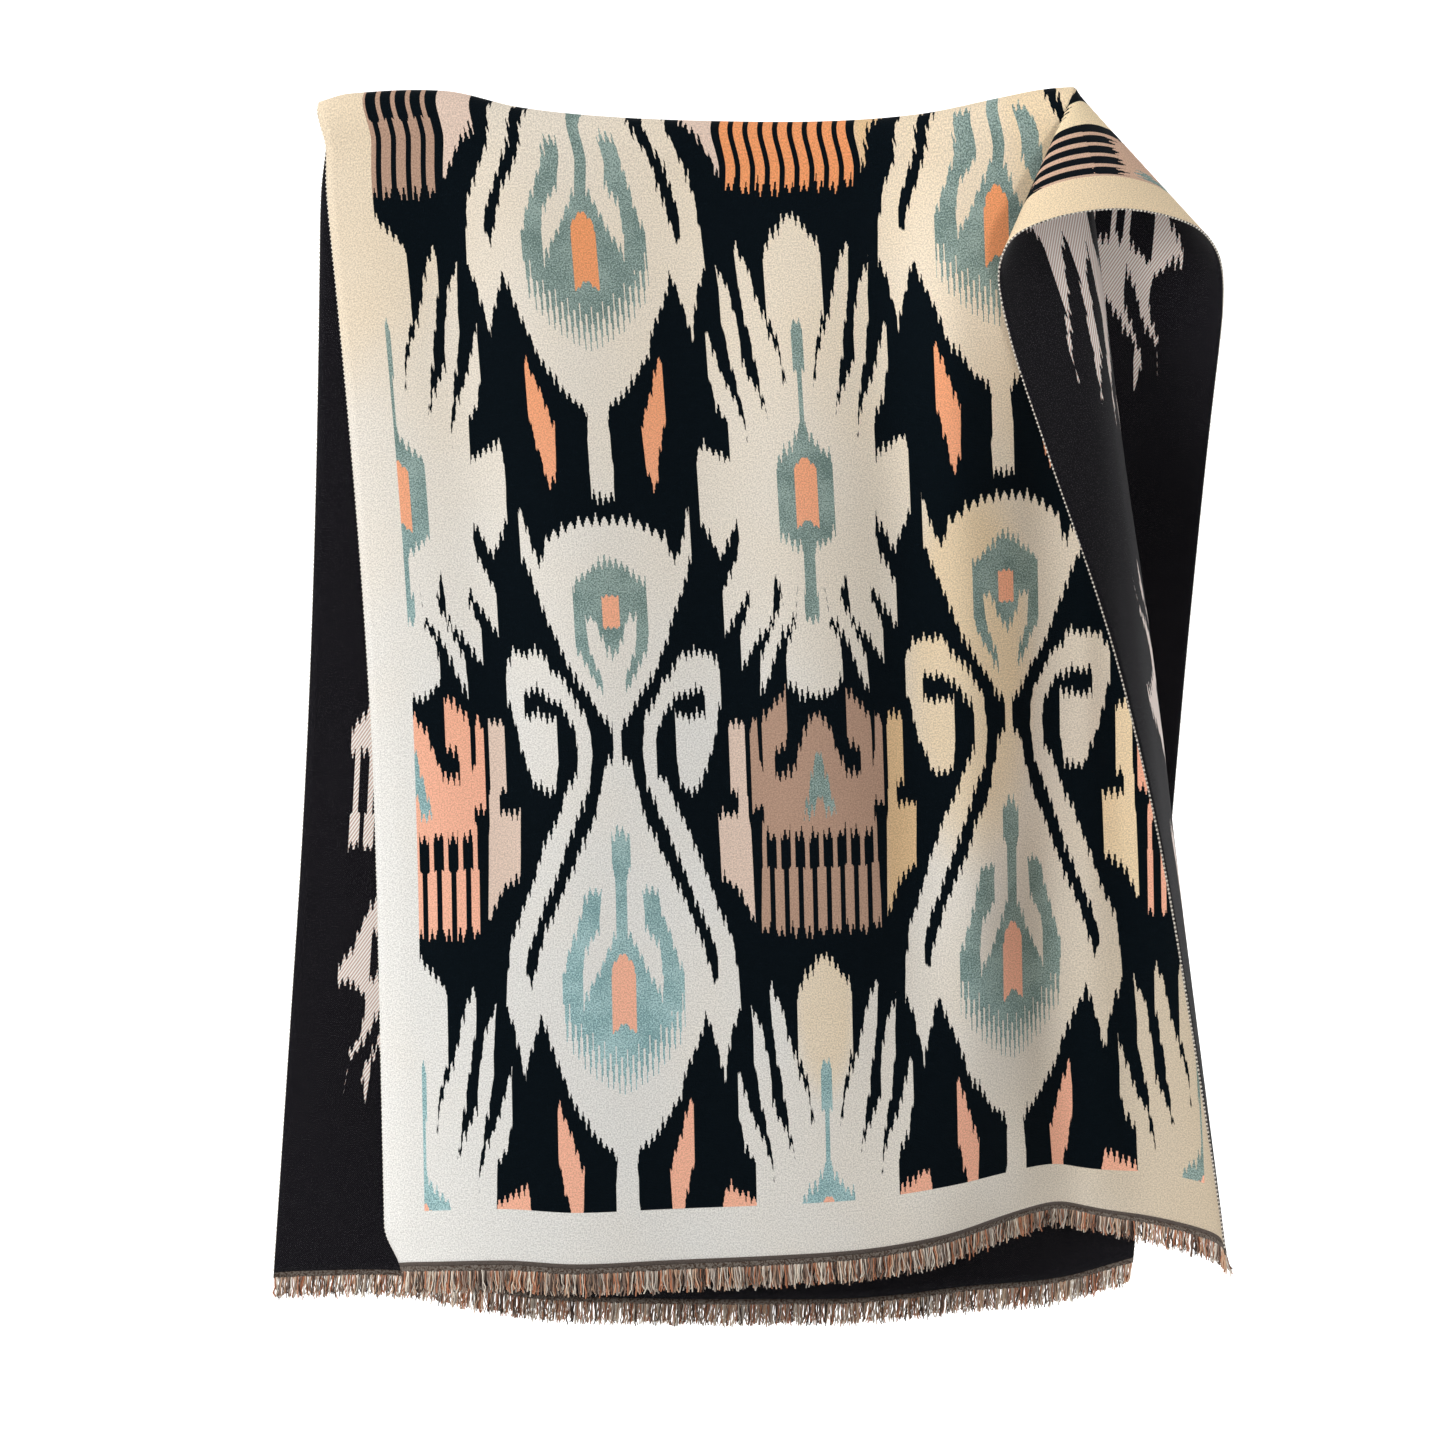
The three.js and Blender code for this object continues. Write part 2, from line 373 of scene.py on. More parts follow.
FRONT_CREASES = (
    Crease(80, 0.02, 106, 0.72, 34, 5.2),
    Crease(150, 0.00, 178, 0.60, 38, -3.6),
    Crease(258, 0.02, 296, 0.74, 46, 3.8),
    Crease(346, 0.00, 340, 0.62, 40, -3.4),
    Crease(420, 0.02, 430, 0.84, 34, 7.4),
    Crease(466, 0.02, 474, 0.88, 26, -5.6),
    Crease(548, 0.04, 544, 0.92, 30, 8.8),
    Crease(40, 0.55, 60, 1.00, 44, -3.0),
    Crease(210, 0.60, 236, 1.00, 58, 3.2),
    Crease(330, 0.55, 372, 1.00, 60, -2.8),
    Crease(460, 0.66, 440, 1.00, 40, -5.4),
    Crease(548, 0.66, 560, 1.00, 36, 7.8),
    Crease(640, 0.30, 620, 0.95, 24, 2.4),
)
BACK_CREASES = (
    Crease(60, -0.02, 84, -0.80, 40, 3.4),
    Crease(170, -0.02, 150, -1.00, 52, -3.8),
    Crease(290, -0.02, 300, -0.90, 46, 3.6),
    Crease(420, -0.02, 440, -1.00, 50, -3.4),
    Crease(530, -0.06, 520, -0.90, 34, 3.2),
    Crease(646, -0.20, 636, -0.96, 26, -3.0),
)


class DrapedCloth:
    """The middle surface of the folded cloth, in millimetres.

    s runs from the left selvedge to the right one, t from the fold down the front, negative behind.
    """

    WIDTH = 700.0
    HOLD_AT = 571.0
    FOLD_LEFT_X = -565.0
    FOLD_RADIUS = 9.0
    FOLD_FADE = 34.0
    HEM_ROLL_DEPTH = 24.0
    HEM_ROLL_LIFT = 9.0
    HEM_ROLL_AT = 545.0
    HEM_ROLL_SPREAD = 95.0
    HEM_ROLL_SHARES = (0.945, 1.04)
    CORNER_CURL = 11.0
    CURL_SPREAD = 20.0
    CURL_SHARES = (0.962, 1.006)
    LEAN_DONE = 0.7
    CREASE_START = (-0.12, 0.22)
    CREASE_END = (0.78, 1.12)
    CREASES_BELOW = (0.0, 0.06)
    CURVE_STEPS = 6000
    NORMAL_STEP = 0.5

    def __init__(self) -> None:
        """Measures the curve of the cowl's rays once, evenly by its length."""
        side, toward = np.radians(COWL_RAYS).T
        rays = np.stack([np.sin(side) * np.cos(toward), -np.sin(toward), -np.cos(side) * np.cos(toward)], 1)
        ends = np.concatenate([[2 * rays[0] - rays[1]], rays, [2 * rays[-1] - rays[-2]]])
        place = np.linspace(0, len(rays) - 1, self.CURVE_STEPS)
        first = np.minimum(place.astype(int), len(rays) - 2)
        w = (place - first)[:, None]
        a, b, c, d = (ends[first + k] for k in range(4))
        square, cube = 2 * a - 5 * b + 4 * c - d, 3 * b - a - 3 * c + d
        self.curve = 0.5 * (2 * b + (c - a) * w + square * w**2 + cube * w**3)
        run = np.concatenate([[0], np.cumsum(np.linalg.norm(np.diff(self.curve, axis=0), axis=1))])
        self.run = run / run[-1]

    def ray(self, angle: np.ndarray) -> np.ndarray:
        """Direction of the cloth's ray at an angle, 0 down the front and pi down the back."""
        share = np.clip(angle / math.pi, 0, 1)
        found = np.stack([np.interp(share, self.run, self.curve[:, k]) for k in range(3)], -1)
        return found / np.linalg.norm(found, axis=-1, keepdims=True)

    @staticmethod
    def station(column: Fold, s: np.ndarray) -> np.ndarray:
        """Smooth value of one column of the fold table at any distance from the left selvedge.

        Args:
            column: Which column.
            s: Distances from the left selvedge.

        Returns:
            The values there.
        """
        at, values = FOLD_ROWS[:, Fold.S.value], FOLD_ROWS[:, column.value]
        row = np.arange(len(at))
        low, high = np.maximum(row - 1, 0), np.minimum(row + 1, len(at) - 1)
        slope = (values[high] - values[low]) / (at[high] - at[low])
        i = np.clip(np.searchsorted(at, s, side="left") - 1, 0, len(at) - 2)
        span = at[i + 1] - at[i]
        v = np.clip((s - at[i]) / span, 0, 1)
        return (values[i] * (2 * v**3 - 3 * v**2 + 1) + slope[i] * span * (v**3 - 2 * v**2 + v)
                + values[i + 1] * (3 * v**2 - 2 * v**3) + slope[i + 1] * span * (v**3 - v**2))

    def fall_length(self, s: np.ndarray, t: np.ndarray) -> np.ndarray:
        """Length of the fall that t lies on."""
        return np.where(t >= 0, self.station(Fold.FRONT_LEN, s), self.station(Fold.BACK_LEN, s))

    def plain_point(self, s: np.ndarray, t: np.ndarray) -> np.ndarray:
        """Points of the cloth without its creases.

        Args:
            s: Distances from the left selvedge.
            t: Distances from the fold.

        Returns:
            An array of points, in millimetres.
        """
        past = np.maximum(s - self.HOLD_AT, 0)
        on_fold = np.minimum(s, self.HOLD_AT)
        rounding = self.FOLD_RADIUS * np.exp(-((t / self.FOLD_FADE) ** 2))
        angle = np.arctan2(past + rounding, t)
        reach = np.hypot(past + rounding, t) - rounding
        x, y, z = np.moveaxis(self.ray(angle) * reach[..., None], -1, 0)
        x = x + self.FOLD_LEFT_X * (1 - on_fold / self.HOLD_AT)
        y = y - self.FOLD_RADIUS * np.cos(angle)
        z = z + self.station(Fold.FOLD_Z, on_fold) + self.FOLD_RADIUS * (np.sin(angle) - 1)
        v = np.abs(t) / self.fall_length(s, t)
        ahead = t >= 0
        dx = np.where(ahead, self.station(Fold.FRONT_DX, on_fold), self.station(Fold.BACK_DX, on_fold))
        dy = np.where(ahead, self.station(Fold.FRONT_DY, on_fold), self.station(Fold.BACK_DY, on_fold))
        x = x + dx * np.sin(math.pi / 2 * np.minimum(v / self.LEAN_DONE, 1))
        y = y + dy * v
        roll = np.exp(-(((s - self.HEM_ROLL_AT) / self.HEM_ROLL_SPREAD) ** 2))
        roll = np.where(ahead, roll * smoothstep(v, *self.HEM_ROLL_SHARES), 0)
        curl = np.where(ahead, np.exp(-s / self.CURL_SPREAD) * smoothstep(v, *self.CURL_SHARES), 0)
        y = y + self.HEM_ROLL_DEPTH * roll + self.CORNER_CURL * curl
        z = z + self.HEM_ROLL_LIFT * roll
        x = x + self.CORNER_CURL * curl
        return np.stack([x, y, z], -1)

    def crease_height(self, s: np.ndarray, t: np.ndarray) -> np.ndarray:
        """How far the creases press the cloth towards its reverse."""
        v = t / self.fall_length(s, t)
        lift = np.zeros_like(s * v)
        for crease in FRONT_CREASES + BACK_CREASES:
            share = (v - crease.v0) / (crease.v1 - crease.v0)
            line = crease.s0 + (crease.s1 - crease.s0) * share
            fade = smoothstep(share, *self.CREASE_START)
            if abs(crease.v1) < 1.0:
                fade = fade * (1 - smoothstep(share, *self.CREASE_END))
            same_fall = smoothstep(v * math.copysign(1, crease.v1), *self.CREASES_BELOW)
            lift = lift + crease.depth * np.exp(-(((s - line) / crease.width) ** 2)) * fade * same_fall
        return lift

    def facing(self, place: Callable, s: np.ndarray, t: np.ndarray) -> np.ndarray:
        """Unit normal on the reverse of a surface.

        Args:
            place: The surface, which gives points for s and t.
            s: Distances from the left selvedge.
            t: Distances from the fold.

        Returns:
            An array of unit vectors.
        """
        step = self.NORMAL_STEP
        across = place(s + step, t) - place(s - step, t)
        along = place(s, t + step) - place(s, t - step)
        normal = np.cross(across, along)
        return normal / np.linalg.norm(normal, axis=-1, keepdims=True)

    def point(self, s: np.ndarray, t: np.ndarray) -> np.ndarray:
        """Points of the creased cloth, in millimetres."""
        way = self.facing(self.plain_point, s, t)
        return self.plain_point(s, t) + way * self.crease_height(s, t)[..., None]

    def normal(self, s: np.ndarray, t: np.ndarray) -> np.ndarray:
        """Unit normal on the reverse of the creased cloth."""
        return self.facing(self.point, s, t)


def smoothstep(value: np.ndarray, low: float, high: float) -> np.ndarray:
    """Runs smoothly from 0 at low to 1 at high."""
    share = np.clip((value - low) / (high - low), 0, 1)
    return share * share * (3 - 2 * share)


def mesh_object(name: str, points: np.ndarray, faces: list) -> bpy.types.Object:
    """Makes a smooth object from points in metres.

    Args:
        name: The piece's name.
        points: Its vertices.
        faces: Its faces, as vertex numbers.

    Returns:
        The linked object.
    """
    mesh = bpy.data.meshes.new(name)
    mesh.from_pydata(points.tolist(), [], faces)
    mesh.validate()
    piece = bpy.data.objects.new(name, mesh)
    bpy.context.scene.collection.objects.link(piece)
    mesh.shade_smooth()
    return piece


def strips(rows: np.ndarray, across: np.ndarray) -> list:
    """Quads between neighbouring rows of vertex numbers.

    Args:
        rows: Vertex numbers, a row for each station.
        across: The same numbers, each moved on to the next vertex of its row.

    Returns:
        The faces.
    """
    return np.stack([rows[:-1], rows[1:], across[1:], across[:-1]], -1).reshape(-1, 4).tolist()


def guide_line(name: str, points: np.ndarray) -> bpy.types.Object:
    """Makes the line of edges that a trim grows along.

    Args:
        name: The trim's name.
        points: Points of the line, in millimetres.

    Returns:
        The linked object.
    """
    guide = bpy.data.meshes.new(name + "_guide")
    guide.from_pydata((points * MM).tolist(), [(i, i + 1) for i in range(len(points) - 1)], [])
    piece = bpy.data.objects.new(name, guide)
    bpy.context.scene.collection.objects.link(piece)
    return piece


# ---- The woven pattern --------------------------------------------------------------------------
@dataclass(frozen=True)
class Band:
    """A stretch of a motif between two edges, each as rows of height and distance from the axis."""

    outer: tuple
    inner: tuple = ()
    spike_pitch: float = 0.0
    spike_depth: float = 0.0


# The tall motif: stem, medallion with its two dark slashes, neck, crowned heart and two scrolls.
TALL_FIGURE = (
    Band(outer=((-23.5, 0), (-23, 9), (0, 10), (38, 7), (44, 10), (54, 22), (71, 34), (82, 42), (102, 48),
                (123, 57), (144, 65), (146, 91), (175, 90), (200, 86), (217, 78), (237, 71), (258, 63),
                (279, 55), (290, 48.5), (291, 27), (312, 18), (334, 14), (346, 2.8), (360, 2.8), (365, 10),
                (382, 19), (397, 30.5), (413, 38), (432, 46), (445, 50.5), (467, 59), (474, 55), (488, 49),
                (489, 0))),
    Band(outer=((70, 70), (92, 77), (102, 78.5), (134, 85), (145, 90), (152, 90), (153, 0)),
         inner=((92, 77), (102, 77), (127, 70), (145, 64))),
    Band(outer=((283, 52), (290, 48), (300, 44), (315, 39), (324, 31), (346, 29.6), (358, 32), (375, 42),
                (385, 56), (386, 84), (402, 83), (413, 77), (414, 0)),
         inner=((283, 31), (300, 24), (315, 18), (345, 20), (350, 20), (366, 21.6), (375, 29), (392, 37.5),
                (402, 49), (413, 52))),
    Band(outer=((311, 56), (314, 64), (327, 69), (346, 76), (363, 79), (380, 84), (392, 84), (393, 0)),
         inner=((311, 56), (314, 48), (330, 46), (363, 46), (366, 46), (367, 70), (392, 70))),
    Band(outer=((467, 59), (488, 66.5), (525, 66.5), (526, 0)),
         inner=((467, 50), (476, 50), (494, 58), (508, 62), (525, 66))),
)
HEART_CROWN = (
    Band(outer=((470, 50), (476, 50), (499, 46), (507, 32), (512, 20), (513, 0)), spike_pitch=6.6,
         spike_depth=9.5),
)
TALL_SLASH = (
    Band(outer=((165, 72), (180, 75), (196, 72), (206, 68), (217, 63), (237, 55), (258, 46), (279, 38),
                (286, 35), (300, 29), (315, 22), (331, 20), (346, 19), (347, 0)),
         inner=((165, 72), (188, 65), (206, 59.5), (227, 50), (248, 39.5), (269, 31), (285, 22), (295, 18.5),
                (312, 14.5), (321, 11.5), (331, 10.5), (337, 2.8), (346, 2.8))),
)
TALL_TEAL = (
    Band(outer=((135, 40), (147, 32), (162, 28), (175, 20), (196, 10), (208, 4), (249, 4), (252, 7), (276, 7),
                (285, 0))),
    Band(outer=((162, 47), (175, 46.5), (196, 40), (217, 32.6), (237, 27), (238, 0)),
         inner=((162, 31.3), (175, 32), (196, 28), (209, 18), (237, 15.5))),
    Band(outer=((386, 10), (387, 11), (406, 21), (420, 28.5), (465, 28.5), (470, 22), (480, 9), (484, 0)),
         inner=((386, 9), (392, 8), (409, 15), (423, 19), (440, 20), (441, 0))),
    Band(outer=((412, 0), (418, 5), (430, 10), (441, 13), (446, 13), (447, 0))),
)
MEDALLION_FRINGE = (
    Band(outer=((101, 0), (106, 12), (116, 26), (130, 38), (143, 47), (146, 47), (147, 47)),
         spike_pitch=4.4, spike_depth=34.0),
    Band(outer=((101, 0), (106, 12), (116, 26), (130, 38), (143, 47), (175, 47), (176, 47)),
         inner=((101, 20), (135, 20), (147, 30.5), (175, 32), (176, 32)), spike_pitch=4.4, spike_depth=34.0),
)
CORE_ORANGE = (
    Band(outer=((132, 10), (175, 10), (184, 7), (192, 0)), inner=((132, 8), (140, 0))),
    Band(outer=((433, 6.6), (456, 6.6), (457, 0))),
)
SLIVER_ORANGE = (
    Band(outer=((-17, 41), (0, 44), (29, 51), (40, 52), (60, 53), (82, 52), (83, 0)),
         inner=((-17, 40), (0, 34), (29, 33), (36, 36), (60, 44), (82, 52))),
)

# The hand motif: head, three fingers up and three down on each side, side lobes and pear.
# Heights run on past the repeat, 553 to 740, because the motif crosses it.
HAND_FIGURE = (
    Band(outer=((462, 10), (470, 27), (471, 28), (490, 45), (491, 54), (546, 57), (568, 57.5), (569, 42),
                (589, 27), (590, 27), (603, 10), (628, 12), (647, 16), (662, 21), (680, 22), (710, 22),
                (720, 17), (731, 8), (740, 0))),
    Band(outer=((589, 27), (650, 36.5), (679, 42), (713, 43), (716, 44), (717, 0)),
         inner=((589, 20), (603, 9.4), (637, 16), (662, 25), (679, 30), (704, 35), (716, 44))),
    Band(outer=((568, 42), (611, 48), (637, 54), (669, 57), (702, 59), (703, 0)),
         inner=((568, 36), (589, 27), (611, 34), (627, 43), (662, 46), (687, 51), (702, 59))),
    Band(outer=((546, 57), (586, 58), (599, 66.5), (622, 69.5), (661, 71), (662, 0)),
         inner=((546, 50), (568, 42), (599, 49.5), (619, 59), (642, 66), (661, 71))),
    Band(outer=((484, 69), (498, 76), (512, 83), (540, 84), (556, 84), (569, 80), (570, 0)),
         inner=((484, 69), (511, 55), (556, 57), (569, 80))),
    Band(outer=((426, 69), (459, 69), (486, 55.7), (497, 54), (498, 0)),
         inner=((426, 69), (438, 61.6), (461, 47), (490, 45))),
    Band(outer=((402, 57), (428, 57), (451, 48), (490, 45), (497, 45), (498, 0)),
         inner=((402, 57), (426, 40), (438, 31), (470, 27.7), (490, 27))),
    Band(outer=((381, 43), (386, 43), (406, 42), (416, 39), (451, 23), (470, 27), (478, 27), (479, 0)),
         inner=((381, 43), (391, 38), (424, 25), (438, 13.5), (462, 10), (470, 10))),
    Band(outer=((380, 0), (381, 12), (387, 19), (395, 23), (410, 23), (421, 20), (433, 13.5), (462, 10),
                (468, 10), (469, 0))),
)
SIDE_LOBE = HAND_FIGURE[4:5]
HAND_TEAL = (
    Band(outer=((436, 0), (438, 6), (457, 6), (459, 4), (489, 4), (495, 16), (501, 22), (554, 22), (558, 19),
                (566, 11), (572, 6), (582, 1.9), (620, 1.9), (626, 4.3), (654, 4.3), (663, 0))),
)
HAND_ORANGE = (
    Band(outer=((505, 9), (506, 9), (549, 9), (559, 0)), inner=((505, 7), (512, 0))),
)

# The comb: peaked top with two lobes, ear strips, and teeth below.
COMB_FIGURE = (
    Band(outer=((204, 48), (205, 48), (283, 46), (284, 45), (316, 45), (321, 23), (329, 18), (343, 13.6),
                (354, 10.6), (368, 0))),
    Band(outer=((312, 45), (361, 43), (372, 36), (381, 24), (382, 0)),
         inner=((312, 30), (321, 34), (338, 34), (344, 24), (381, 24))),
    Band(outer=((296, 54), (356, 54), (363, 49), (364, 0)),
         inner=((296, 44), (322, 44), (329, 46.5), (363, 47))),
)
COMB_TEAL = (
    Band(outer=((292, 12.5), (293, 12.5), (343.5, 0)), inner=((292, 4.5), (310, 0))),
)
SIDE_BAR = (
    Band(outer=((212, 54), (237, 66), (247, 80), (292, 81), (293, 64), (309, 64), (310, 71), (360, 71),
                (361, 0)),
         inner=((212, 54), (277, 55), (292, 56), (309, 56), (310, 58), (360, 58))),
)


class IkatChart:
    """Reads the pattern off the cloth's own coordinates, feathered as tie-dyed warps are."""

    SIDE_BORDER = 34.0
    END_BORDER = 41.0
    CLOTH_LENGTH = 1750.0
    HALF_REPEAT = 158.0
    REPEAT = 553.0
    WARP_STEP = 0.8
    FEATHER_PITCH = 4.4
    FEATHER_DEPTH = 9.5
    FEATHER_LEAST = 0.55
    FEATHER_SPREAD = 0.9
    DRIFT = 8.0
    DRIFT_SCALE = 0.11
    LOCK_HOLD = 0.36
    CALM = 0.25
    TALL_BASE = -25.5
    HAND_BASE = 195.0
    TOOTH_PITCH = 11.2
    TOOTH_HALF = 2.0
    TOOTH_HALF_LAST = 3.3
    TEETH_FROM = 197.0
    TEETH_TO = 255.0
    KNOB_HALF = 3.9
    KNOB_FROM = 251.0
    KNOB_TO = 276.0
    LAST_COMB = (556.0, 566.0)
    LOBE_DYED_TO = 95.0
    LOT_EDGE = 0.8

    def __init__(self, dye: DyeBath) -> None:
        """Works out the feathered coordinates.

        Args:
            dye: The material's node builder.
        """
        self.dye = dye
        self.uv = dye.add("ShaderNodeUVMap", {"uv_map": "cloth"}, {}).outputs["UV"]
        parts = dye.add("ShaderNodeSeparateXYZ", {}, {0: self.uv})
        self.u = Field(dye, parts.outputs[0]) * 1000.0
        self.v = Field(dye, parts.outputs[1]) * 1000.0
        self.warp = (self.u / self.WARP_STEP).floor() * self.WARP_STEP
        lock = (self.warp / self.FEATHER_PITCH + 0.5).floor()
        spread = dye.number("ShaderNodeTexWhiteNoise", {"noise_dimensions": "1D"}, {"W": lock})
        slow = dye.number("ShaderNodeTexNoise", {"noise_dimensions": "1D"},
                          {"W": self.warp * self.DRIFT_SCALE, "Scale": 1.0})
        teeth = self.saw(self.FEATHER_PITCH) * (spread * self.FEATHER_SPREAD + self.FEATHER_LEAST)
        self.feather = teeth * self.FEATHER_DEPTH + slow * self.DRIFT - self.DRIFT / 2
        across = self.u - self.SIDE_BORDER
        tied = across - (self.u - lock * self.FEATHER_PITCH) * self.LOCK_HOLD
        self.column = (across / (2 * self.HALF_REPEAT) + 0.5).floor()
        self.tooth_x = across.pingpong(self.HALF_REPEAT)
        self.hand_x = tied.pingpong(self.HALF_REPEAT)
        self.tall_x = self.HALF_REPEAT - self.hand_x
        plain = self.v - self.END_BORDER
        self.tall_h = self.height(plain + self.feather, self.TALL_BASE)
        self.hand_h = self.height(plain + self.feather, self.HAND_BASE)
        self.calm_tall_h = self.height(plain + self.feather * self.CALM, self.TALL_BASE)
        self.calm_hand_h = self.height(plain + self.feather * self.CALM, self.HAND_BASE)
        self.repeat = ((plain - self.HAND_BASE) / self.REPEAT).floor()

    def saw(self, pitch: float) -> Field:
        """Even teeth across the warps, from minus a half to a half."""
        return self.warp.pingpong(pitch / 2) / (pitch / 2) - 0.5

    def height(self, along: Field, base: float) -> Field:
        """Height in the repeat, counted from a base where no motif is cut."""
        return (along - base).modulo(self.REPEAT) + base

    def inside(self, band: Band, distance: Field, height: Field) -> Field:
        """1 between a band's edges, 0 elsewhere.

        Args:
            band: The stretch of the motif.
            distance: Distance from the motif's axis, in millimetres.
            height: Height in the repeat, in millimetres.

        Returns:
            The mask as a field.
        """
        low, high = band.outer[0][0], band.outer[-1][0]
        spiked = height
        if band.spike_pitch:
            spiked = height + self.saw(band.spike_pitch) * band.spike_depth
            low = low - band.spike_depth * (band.outer[0][1] == 0)
            high = high + band.spike_depth * (band.outer[0][1] != 0)
        mask = distance < self.dye.profile(spiked, band.outer)
        if band.inner:
            mask = mask * (distance > self.dye.profile(height, band.inner))
        return mask * (height > low) * (height < high)

    def union(self, bands: tuple, distance: Field, height: Field) -> Field:
        """1 inside any of the bands."""
        found = self.inside(bands[0], distance, height)
        for band in bands[1:]:
            found = found.larger(self.inside(band, distance, height))
        return found

    def cream_figure(self) -> Field:
        """1 on the tall and the hand motifs."""
        tall = self.union(TALL_FIGURE, self.tall_x, self.tall_h)
        tall = tall * (1 - self.union(TALL_SLASH, self.tall_x, self.tall_h))
        tall = tall.larger(self.union(HEART_CROWN, self.tall_x, self.calm_tall_h))
        return tall.larger(self.union(HAND_FIGURE, self.hand_x, self.hand_h))

    def comb(self) -> Field:
        """1 on the combs, between their dark teeth, which have a knob above a thin shaft."""
        middle = (self.tooth_x.modulo(self.TOOTH_PITCH) - self.TOOTH_PITCH / 2).absolute()
        knob = (self.calm_hand_h > self.KNOB_FROM) * (self.hand_h < self.KNOB_TO)
        knob = (middle < self.KNOB_HALF) * knob
        half = self.u.ramp(*self.LAST_COMB) * (self.TOOTH_HALF_LAST - self.TOOTH_HALF) + self.TOOTH_HALF
        shaft = (middle < half) * (self.hand_h > self.TEETH_FROM) * (self.hand_h < self.TEETH_TO)
        return self.union(COMB_FIGURE, self.hand_x, self.hand_h) * (1 - knob.larger(shaft))

    def bars(self) -> Field:
        """1 on the bars beside the combs."""
        return self.union(SIDE_BAR, self.hand_x, self.hand_h)

    def teal(self) -> Field:
        """1 on the teal yarn inside the tall and the hand motifs."""
        teal = self.union(TALL_TEAL, self.tall_x, self.tall_h)
        teal = teal.larger(self.union(MEDALLION_FRINGE, self.tall_x, self.calm_tall_h))
        return teal.larger(self.union(HAND_TEAL, self.hand_x, self.hand_h))

    def slivers(self) -> Field:
        """1 on the orange slivers beside the stem, and on the side lobes next to the front hem."""
        lobe = self.union(SIDE_LOBE, self.hand_x, self.hand_h) * (self.v < self.LOBE_DYED_TO)
        return self.union(SLIVER_ORANGE, self.tall_x, self.tall_h).larger(lobe)

    def cores(self) -> Field:
        """1 on the orange cores of the motifs."""
        tall = self.union(CORE_ORANGE, self.tall_x, self.calm_tall_h)
        return tall.larger(self.union(HAND_ORANGE, self.hand_x, self.calm_hand_h))

    def border(self) -> Field:
        """1 on the plain border round the field."""
        side = (self.u < self.SIDE_BORDER).larger(self.u > DrapedCloth.WIDTH - self.SIDE_BORDER)
        end = (self.v < self.END_BORDER).larger(self.v > self.CLOTH_LENGTH - self.END_BORDER)
        return side.larger(end)

    def patch(self, lot: "DyeLot") -> Field:
        """1 in the middle of a dye lot's patch, falling to 0 at its edge."""
        du = (self.u - lot.u) / lot.reach_u
        dv = (self.v - lot.v) / lot.reach_v
        return (1 - (du * du + dv * dv)).ramp(0.0, self.LOT_EDGE) * lot.strength

    def swapped(self) -> Field:
        """1 where a comb is woven in the second of its two colours."""
        return (self.column + self.repeat).modulo(2.0)


@dataclass(frozen=True)
class DyeLot:
    """A patch of cloth, in millimetres of its flat sheet, whose pale yarn is warmer: partly a warmer lot of
    yarn, partly painted warm light.
    """

    u: float
    v: float
    reach_u: float
    reach_v: float
    strength: float


WARM_LOTS = (
    DyeLot(475, 430, 64, 175, 0.62),
    DyeLot(350, 190, 32, 84, 0.6),
    DyeLot(0, 800, 120, 170, 0.25),
    DyeLot(620, 850, 120, 260, 0.35),
)


@dataclass(frozen=True)
class ClothDyes:
    """The yarn colours of the cloth, as screen values, with shaded copies of the cream and the teal that
    paint shade into them.
    """

    ground: tuple = (6, 15, 21)
    cream: tuple = (233, 231, 226)
    warm_cream: tuple = (240, 217, 182)
    # Cream with painted shade, for the low right of the front fall near its hem.
    shaded_cream: tuple = (206, 188, 160)
    teal: tuple = (126, 164, 167)
    pale_teal: tuple = (176, 208, 209)
    # Teal with painted shade, for the top right of the cloth.
    shaded_teal: tuple = (108, 130, 124)
    pale_shaded_teal: tuple = (158, 177, 170)
    orange: tuple = (250, 186, 158)
    deep_orange: tuple = (244, 160, 106)
    brown: tuple = (188, 154, 133)
    lit_brown: tuple = (214, 178, 154)
    pale_salmon: tuple = (230, 205, 188)
    tan: tuple = (232, 197, 152)
    pale_tan: tuple = (246, 224, 186)
    heading: tuple = (104, 94, 88)
    grain_low: float = 0.78
    grain_high: float = 1.15


